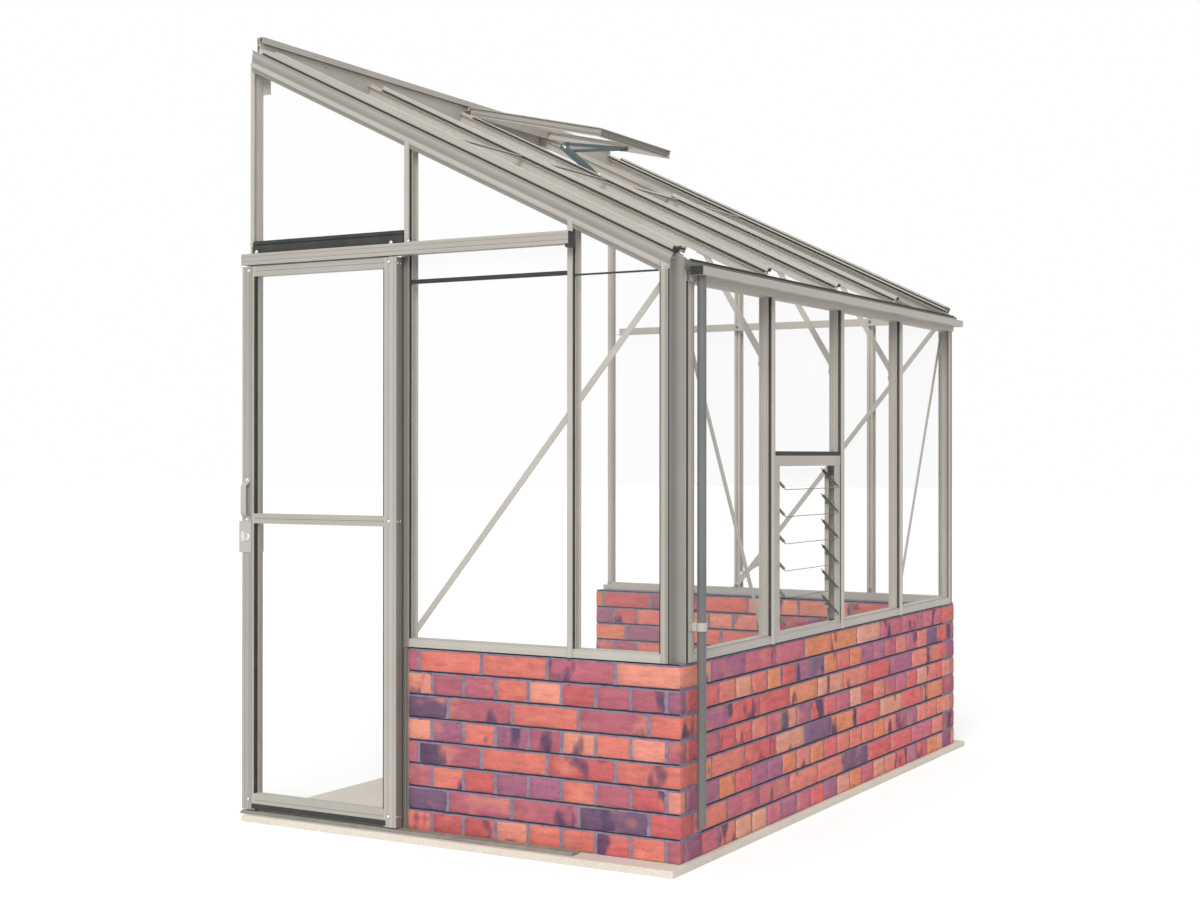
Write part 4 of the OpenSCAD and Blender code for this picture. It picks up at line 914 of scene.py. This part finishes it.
def roofCapPieces():
    c = caps
    shapes = []
    for y, head in zip(sideBars, (c["top"], c["ventEnd"], c["ventEnd"])):
        shapes.append(slopeStrip(capRows(y, c["low"], c["high"], c["wide"] / 2), c["foot"], head))
    # half caps beside the vent, on the side of the neighbouring pane
    for y in (sideBars[1] - 10, sideBars[2] + 3):
        shapes.append(slopeStrip([(54, y), (58, y), (58, y + 7), (54, y + 7)], c["ventEnd"], c["top"]))
    gable = [(65.8, 36.9), (71.2, 36.9), (71.6, 37.3), (71.6, 68.4), (71.2, 68.8), (65.8, 68.8)]
    strip = slopeStrip(gable, c["foot"] + 8, c["top"])
    shapes += [strip, mirrored(strip)]
    return newPiece("roofCaps", *joinShapes(shapes), coat["alu"], slot="alu", smooth=30)


def plugShape(rows, ends):
    # rows of (level, y) drawn to their middle by a scale at each slope position
    rows = np.array(rows)
    middle = rows.mean(0)
    return closedLoft([[slopePoint(s, n, y) for n, y in middle + (rows - middle) * scale]
                       for s, scale in ends])


def plugPieces():
    # black end plugs of the bars and gables, and the ribbed gutter end
    c, drawn = caps, 0.86
    foot = c["foot"]
    shapes = [plugShape(capRows(y, c["low"] + 0.6, c["high"] - 0.4, c["wide"] / 2 - 0.6),
                        ((foot - 5, drawn), (foot - 4, 1.0), (foot - 0.1, 1.0))) for y in sideBars]
    rows = [(47, -3.4), (65.4, -4.6), (65.4, 14), (71, 37.4), (71, 66), (58, 66), (58, 38),
            (52, 33), (47, 20)]
    gable = plugShape(rows, ((49.0, drawn), (50.2, 1.0), (53.8, 1.0)))
    q = np.linspace(0, 1, 29)
    front = np.stack([12.2 + 41.6 * q, 42.0 + 0.45 * (1 + np.sin(q * 2 * np.pi * 7))], -1)
    outline = np.concatenate([front, [[53.8, 46.0], [12.2, 46.0]]])
    gutter = closedLoft([[at(x, y, z) for x, y in outline] for z in (1770, 1796)])
    shapes += [gable, mirrored(gable), gutter]
    return newPiece("capPlugs", *joinShapes(shapes), coat["blackPlastic"], slot="rubber")


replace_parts(roofCapPieces(), "roof_caps")
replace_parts(plugPieces(), "cap_plugs")


def cornerShadeLining():
    # lining of the quarter cove (x, y) = (-r cos t, r sin t), with painted shade darkest a third of the way
    # in, and the flange recess; the strip beside it is painted a shaded grey too
    r, low, high = cove["radius"], cove["wallTop"], 1788
    t = np.radians(np.arange(0, 91, 9))
    tones = np.interp(np.degrees(t), [0, 4, 9, 30, 45, 65, 84, 90], [166, 158, 148, 126, 140, 152, 156, 170])
    rows = [(-r * math.cos(a), r * math.sin(a), v) for a, v in zip(t, tones)]
    rows += [(-36.3 * math.cos(a), 36.3 * math.sin(a), v) for a, v in zip(t[::-1], tones[::-1])]
    rings = [[at(x, y, low) for x, y, _ in rows], [at(x, y, roofHeight(x, 44)) for x, y, _ in rows]]
    lining = *closedLoft(rings), np.tile(toneRow([v[2] for v in rows]), 2)
    strip = flutedStrip([(0, 0, 172), (0.2, 0.7, 172), (9.6, 0.7, 160), (9.8, 0, 160)],
                        upright(-49.6, -1.3, low, high), across, toViewer, 0.0)
    recess = ribbedFace((0, 15), (192,), (5,), 168)
    flange = flutedStrip(recess, upright(-65, -3.0, low, high), across, toViewer)
    strips = [lining, strip, flange]
    return fluted("cornerShadeLining", strips + [mirrored(q) for q in strips])


def beamEndShade():
    # lining of both ends of the eaves beam painted dark as shade: its outline under the roof slope, carried
    # 0.8 mm
    slope, low = math.tan(pitch), eaves - 19.7
    line = [(-38, low), (11.6, low), (11.6, eaves + 49.4 - 11.6 * slope), (9.9, eaves + 49.4 - 9.9 * slope),
            (9.2, eaves + 14 - 9.2 * slope), (-38, eaves + 14 + 38 * slope)]
    strip = *flatShape(line, (42.3, 43.1)), np.tile(toneRow([112] * 6), 2)
    # the upright flange over the gutter, with a bead, runs on past the beam to the gable rafters; its dark
    # greys are painted shade under the roof's overhang
    section = [(1782, 0, 116), (1782.3, 0.8, 116), (1803, 0.8, 120), (1803.4, 1.4, 150), (1806, 1.4, 150),
               (1806.4, 0.8, 118), (1814, 0.8, 128), (1815.6, 0, 140)]
    flange = flutedStrip(section, [at(12, y, 0) for y in (5, farY - 5)], upward, across, 2.3)
    return fluted("beamEndShade", [strip, mirrored(strip), flange])


def cornerGasket():
    # thin black line between the flange and the cove
    line = carried(roundedBox(3.4, 2.4, 0.8), upright(-37.9, -1.9, cove["wallTop"], 1786), across, (0, 1, 0))
    return newPiece("cornerGasket", *joinShapes([line, mirrored(line)]), coat["rubber"], slot="rubber")


cornerShadeLining()
beamEndShade()
cornerGasket()
print("stage: fluted faces and gaskets made")


def headSeal():
    # stepped rubber section (y, z) carried along the head of the door
    low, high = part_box("door_head_seal")
    steps = [(0, 1922), (-10, 1922), (-10, 1946), (-9.2, 1947.5), (-5.6, 1948), (-5.6, 1951.5),
             (-8.4, 1952.5), (-8.4, 1958), (-4.2, 1960), (-4.2, 1963.5), (-3.6, 1965), (0, 1965)]
    strip = carried(steps, [(x, 0, slab) for x in (low.x, high.x)], (0, 1, 0), upward)
    return newPiece("headSeal", *strip, coat["rubber"], slot="rubber")


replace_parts(headSeal(), "door_head_seal")


pipe = {"x": 33.0, "y": 79.0, "outer": 14.0, "inner": 12.0, "top": 1770.0, "shoe": 108.0, "cut": 42}


def rainPipe():
    # pipe wall turned about its axis; the shoe is cut at z = shoe + tan(cut) (y - axis)
    t = np.linspace(0, 2 * np.pi, 48, endpoint=False)
    outer, inner = pipe["outer"], pipe["inner"]
    rings = []
    loop = [(outer, 0), (outer, 0.02), (outer, 0.5), (outer, 1), (inner, 1), (inner, 0.5), (inner, 0)]
    for r, up in loop + loop[:1]:
        foot = pipe["shoe"] + math.tan(math.radians(pipe["cut"])) * r * np.sin(t)
        z = foot + (pipe["top"] - foot) * up
        rings.append(at(pipe["x"] + r * np.cos(t), pipe["y"] + r * np.sin(t), z).T)
    points, faces = closedLoft(rings)
    return newPiece("rainPipe", points, faces[:-2], coat["greyPlastic"], slot="grey_plastic")


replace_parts(rainPipe(), "downpipe")
newPiece("clipScrew", *domeHead((5.5, 57, 708), across, 4.0), coat["brightSteel"], slot="steel")
print("stage: seals and rain pipe made")


louvre = {"pivotX": -13.5, "first": 691.4, "pitch": 91.0, "tilt": 45.0, "from": 737.0, "to": 1215.0,
          "high": 100.0, "thick": 4.0, "crank": 18.0}


def pivotHeight(k):
    return louvre["first"] + k * louvre["pitch"]


def tilted(points, k):
    # turn about the pivot line: x' = u cos a - w sin a, z' = u sin a + w cos a, with a the tilt
    a = math.radians(louvre["tilt"])
    u, y, w = points[..., 0], points[..., 1], points[..., 2]
    x = louvre["pivotX"] + u * math.cos(a) - w * math.sin(a)
    z = pivotHeight(k) + u * math.sin(a) + w * math.cos(a)
    return np.stack([x, y, z + slab * 1000], -1) / 1000


def glassBlade(k):
    # pane with ground edges: a bevelled section carried from clip to clip
    section = roundedBox(louvre["thick"], louvre["high"], 0.8, 2)
    low, high = louvre["from"], louvre["to"]
    rings = np.array([[(p, y, q) for p, q in section * scale]
                      for y, scale in ((low, 0.985), (low + 0.8, 1), (high - 0.8, 1), (high, 0.985))])
    lower = (section[:, 1] + np.roll(section[:, 1], -1)) / 2 < -louvre["high"] * 0.485
    mask = np.concatenate([np.tile(np.where(lower, 1, 0), 3), [1, 1]])
    return newPiece("glassBlade%d" % (k + 1), *closedLoft(tilted(rings, k)), clearGlass, "blade_%d" % (k + 1),
                    smooth=0, slot="glass", second=glassEdge, mask=mask)


def bladeClips(k):
    # U-shaped clip on each end, a turned pivot stub, and the crank arm with its pin
    shapes = []
    x, z, crank = louvre["pivotX"], pivotHeight(k), louvre["crank"]
    clip = [(-3.6, 0), (3.6, 0), (3.6, 11), (2.2, 11), (2.2, 3.4), (-2.2, 3.4), (-2.2, 11), (-3.6, 11)]
    for y, way in ((louvre["from"] - 3.6, 1), (louvre["to"] + 3.6, -1)):
        rings = np.array([[(p * scale, y + way * q, w) for p, q in clip]
                          for w, scale in ((-40, 0.85), (-38.5, 1), (38.5, 1), (40, 0.85))])
        shapes.append(closedLoft(tilted(rings, k)))
        shapes.append(turned([(2.9, 0), (2.9, 10.6), (2.4, 11.2), (0.02, 11.2)], (x, y, z), (0, -way, 0), 20))
    arm = roundedBox(crank + 8, 8, 3.6) + (x - crank / 2, z)
    shapes.append(flatShape(arm, (louvre["to"] + 1, louvre["to"] + 4)))
    pin = [(1.9, 0), (1.9, 4.6), (1.5, 5.0), (0.02, 5.0)]
    shapes.append(turned(pin, (x - crank, louvre["to"] + 3.5, z), (0, 1, 0), 16))
    return newPiece("bladeClips%d" % (k + 1), *joinShapes(shapes), coat["clip"], "blade_%d" % (k + 1),
                    slot="alu")


for k in range(6):
    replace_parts(glassBlade(k), "louvre_blade_%d" % (k + 1))
    bladeClips(k)


def louvreLever():
    # flat arm with an eased outline round its pivot, and a ball knob r(h) = R sqrt(1 - h^2)
    x, y, z = -48.0, 700.0, 873.4
    corners = [(-8, 0), (0, 10.6), (8, 6.6), (7, -7.4), (-2, -11.4), (-70, -47.4), (-74, -40.4), (-8, 0)]
    arm = flatShape(easedPath(corners, 2.5)[:-1] + (x, z), (y - 2, y + 2))
    h = np.sin(np.linspace(-1.35, 1.35, 13))
    knob = turned(np.stack([9 * np.sqrt(1 - h ** 2), 8 * h], -1), (x - 78, y, z - 47.4), (0, 1, 0), 32)
    mask = [0] * len(arm[1]) + [1] * len(knob[1])
    return newPiece("louvreLever", *joinShapes([arm, knob]), coat["alu"], "lever", slot="alu",
                    second=coat["whitePlastic"], mask=mask)


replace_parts(louvreLever(), "louvre_lever")
print("stage: louvre made")


opener = {"foot": (-1090.0, 2300.0), "elbow": (-1315.0, 2497.0), "joint": (-1035.1, 2468.3), "y": 1540.0}


def openerBody():
    # long casting from foot to elbow: a rounded section whose height swells from 15 to 30 along its length,
    # with a raised land down the middle of its side
    foot, elbow = np.array(opener["foot"]), np.array(opener["elbow"])
    length = np.linalg.norm(elbow - foot)
    along = (elbow - foot) / length
    up = np.array([-along[1], along[0]])
    t = np.concatenate([[-0.03, -0.02], np.linspace(0, 1.0, 15), [1.06, 1.075]])
    tall = 15 + 15 * np.sin(np.clip(t, 0, 0.62) / 0.62 * np.pi / 2) ** 2
    tall[[0, -1]] *= 0.72
    shift = 3.5 * np.clip(t, 0, 1) ** 2

    def ring(k, high, wide, radius):
        x, z = foot + along * length * t[k] + up * shift[k]
        return [at(x + p * up[0], opener["y"] + q, z + p * up[1]) for p, q in roundedBox(high, wide, radius)]

    last = len(t) - 1
    casting = closedLoft([ring(k, tall[k], 12.0 if 0 < k < last else 9.0, 3.2) for k in range(last + 1)])
    land = closedLoft([ring(k, tall[k] * 0.42, 13.6, 1.6) for k in range(4, last - 2)])
    return newPiece("openerBody", *joinShapes([casting, land]), coat["slate"], "opener", slot="slate_paint")


def openerPins():
    # turned pins with domed heads at the foot and the elbow
    shapes = []
    for (x, z), low, high in ((opener["foot"], -9.2, 9.2), (opener["elbow"], -6.2, 15.0)):
        pin = [(3.0, low), (3.0, high), (2.5, high + 0.4), (0.02, high + 0.4)]
        shapes.append(turned(pin, (x, opener["y"], z), (0, 1, 0)))
        shapes.append(domeHead((x, opener["y"] + low + 0.1, z), toViewer, 5.4))
    x, z = opener["elbow"]
    shapes.append(domeHead((x - 9, opener["y"] - 6.1, z + 7), toViewer, 3.4))
    return newPiece("openerPins", *joinShapes(shapes), coat["brightSteel"], "opener", slot="bright")


def openerArm(start, end, high, y):
    # folded channel: web and two edges, carried from the elbow plate to the joint
    a, b = np.array(start, float), np.array(end, float)
    along = (b - a) / np.linalg.norm(b - a)
    h = high / 2
    channel = [(0, -h), (1.5, -h), (1.5, 1 - h), (0.9, 1 - h), (0.9, h - 1), (1.5, h - 1), (1.5, h), (0, h)]
    return carried(channel, [at(q[0], y, q[1]) for q in (a, b)], (0, 1, 0), (-along[1], 0, along[0]))


def openerArms():
    # elbow plate with an eased outline, the lower arm and the joint block in one pressing
    (ex, ez), (jx, jz) = opener["elbow"], opener["joint"]
    y = opener["y"] + 6.4
    outline = easedPath([(-9, 0), (-11, 25), (14, 25), (12, 4), (17, -18), (0, -24), (-9, -12), (-9, 0)],
                        6.0)[:-1]
    block = easedPath([(-26, 11), (6, 6), (9, -5), (-2, -9), (-28, -7), (-26, 11)], 3.0)[:-1]
    shapes = [flatShape(outline + (ex, ez), (y, y + 1.6)),
              openerArm((ex + 4, ez - 14), (jx, jz - 1), 12, y + 0.1),
              flatShape(block + (jx, jz), (y, y + 3.6)),
              turned([(3, -0.6), (3, 9.6), (2.6, 10.0), (0.02, 10.0)], (jx, y, jz), (0, 1, 0))]
    return newPiece("openerLowerArm", *joinShapes(shapes), coat["slate"], "opener_arms", slot="slate_paint")


def openerUpper():
    (ex, ez), (jx, jz) = opener["elbow"], opener["joint"]
    upper = openerArm((ex - 2, ez + 17), (jx - 22, jz + 6), 13, opener["y"] + 8.4)
    return newPiece("openerUpperArm", *upper, coat["slate"], "opener_arms", slot="slate_paint")


vent = {"hingeX": -1640.0, "hingeLevel": 73.5, "open": 12.95, "from": 1288.6, "to": 1895.6, "long": 648.0}


def ventShadeRibs():
    # ribbed webs of the vent's rails, in the vent's own axes: down it (cos a, -sin a), up from it (sin a, cos
    # a); painted shade: the front web darker than the side webs, the groove floors darker still
    a = pitch - math.radians(vent["open"])
    hingeZ = roofHeight(vent["hingeX"], vent["hingeLevel"])
    down, up = (math.cos(a), 0, -math.sin(a)), (math.sin(a), 0, math.cos(a))

    def line(*ends):
        return [at(vent["hingeX"] + x * down[0], y, hingeZ + x * down[2]) for x, y in ends]

    low, high, web = vent["from"], vent["to"], vent["long"] - 9
    front = ribbedFace((-24.8, -17, 2.8), (134, 158), (-9, -2.5), 96)
    side = ribbedFace((-24.8, -16, 2.8), (146, 190), (-12, -5, 0.5), 124)
    strips = [flutedStrip(front, line((web, low + 20.4), (web, high - 20.4)), up, down)]
    for y, way in ((low + 8, -1), (high - 8, 1)):
        strips.append(flutedStrip(side, line((24, y), (vent["long"] - 0.4, y)), up, (0, way, 0)))
    return fluted("ventShadeRibs", strips, "vent")


ventShadeRibs()
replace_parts(openerBody(), "opener_body")
openerPins()
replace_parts(openerArms(), "opener_lower_arm")
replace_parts(openerUpper(), "opener_upper_arm")
print("stage: vent opener made")


studio = {"sunPower": 1.95, "sunFrom": (0.30, -0.80, 0.62), "sunSoftness": 35, "skyPower": 0.42,
          "floorGlow": 0.30}


def studioWhite():
    # soft light for the object, and white for what only the eye, gloss and clear things see
    world = bpy.data.worlds.new("studioWorld")
    bpy.context.scene.world = world
    world.use_nodes = True
    f = finishParts(world, world.node_tree.nodes, world.node_tree.links, None)
    f.nodes.clear()
    mix, out = f.nodes.new("ShaderNodeMixShader"), f.nodes.new("ShaderNodeOutputWorld")
    f.links.new(anyRay(f, "Is Camera Ray", "Is Transmission Ray", "Is Glossy Ray"), mix.inputs[0])
    for k, color, power in ((1, (0.97, 0.985, 1.0, 1), studio["skyPower"]), (2, (1, 1, 1, 1), 1.0)):
        sky = f.nodes.new("ShaderNodeBackground")
        sky.inputs["Color"].default_value = color
        sky.inputs["Strength"].default_value = power
        f.links.new(sky.outputs[0], mix.inputs[k])
    f.links.new(mix.outputs[0], out.inputs["Surface"])


def keyLight():
    sun = bpy.data.lights.new("keyLight", "SUN")
    sun.energy = studio["sunPower"]
    sun.angle = math.radians(studio["sunSoftness"])
    sun.color = (1.0, 0.985, 0.96)
    lamp = bpy.data.objects.new("keyLight", sun)
    bpy.context.scene.collection.objects.link(lamp)
    toward = np.array(studio["sunFrom"]) / np.linalg.norm(studio["sunFrom"])
    lamp.rotation_euler = (math.acos(toward[2]), 0, math.atan2(toward[1], toward[0]) + math.pi / 2)


def paleFloor():
    # white to the eye and to gloss, pale to every other ray, so that it keeps the shadow
    f = startFinish("paleFloor")
    seen = anyRay(f, "Is Camera Ray", "Is Glossy Ray")
    return feedShader(f, {
        "Base Color": mixColors(f, "MIX", seen, (0.80, 0.80, 0.80, 1), (1, 1, 1, 1)), "Roughness": 1.0,
        "Specular IOR Level": 0.0, "Emission Color": (1, 1, 1, 1),
        "Emission Strength": mathNode(f, "MULTIPLY", seen, studio["floorGlow"])})


studioWhite()
keyLight()
reach, drop = 60, -0.0005
floorMesh = bpy.data.meshes.new("floor")
floorCorners = [(x * reach, y * reach, drop) for x, y in ((-1, -1), (1, -1), (1, 1), (-1, 1))]
floorMesh.from_pydata(floorCorners, [], [(0, 1, 2, 3)])
floorMesh.materials.append(paleFloor())
floor = bpy.data.objects.new("floor", floorMesh)
bpy.context.scene.collection.objects.link(floor)
floor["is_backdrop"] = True

eye = bpy.data.cameras.new("eye")
eye.lens = 52.65
eye.sensor_width = 36
eyeObject = bpy.data.objects.new("eye", eye)
bpy.context.scene.collection.objects.link(eyeObject)
eyeObject.location = (2.3857, -4.6865, 1.2479)
eyeObject.rotation_euler = (math.radians(90.178), math.radians(-0.033), math.radians(29.597))
bpy.context.scene.camera = eyeObject
bpy.context.scene.view_settings.view_transform = "Standard"

low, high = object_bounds()
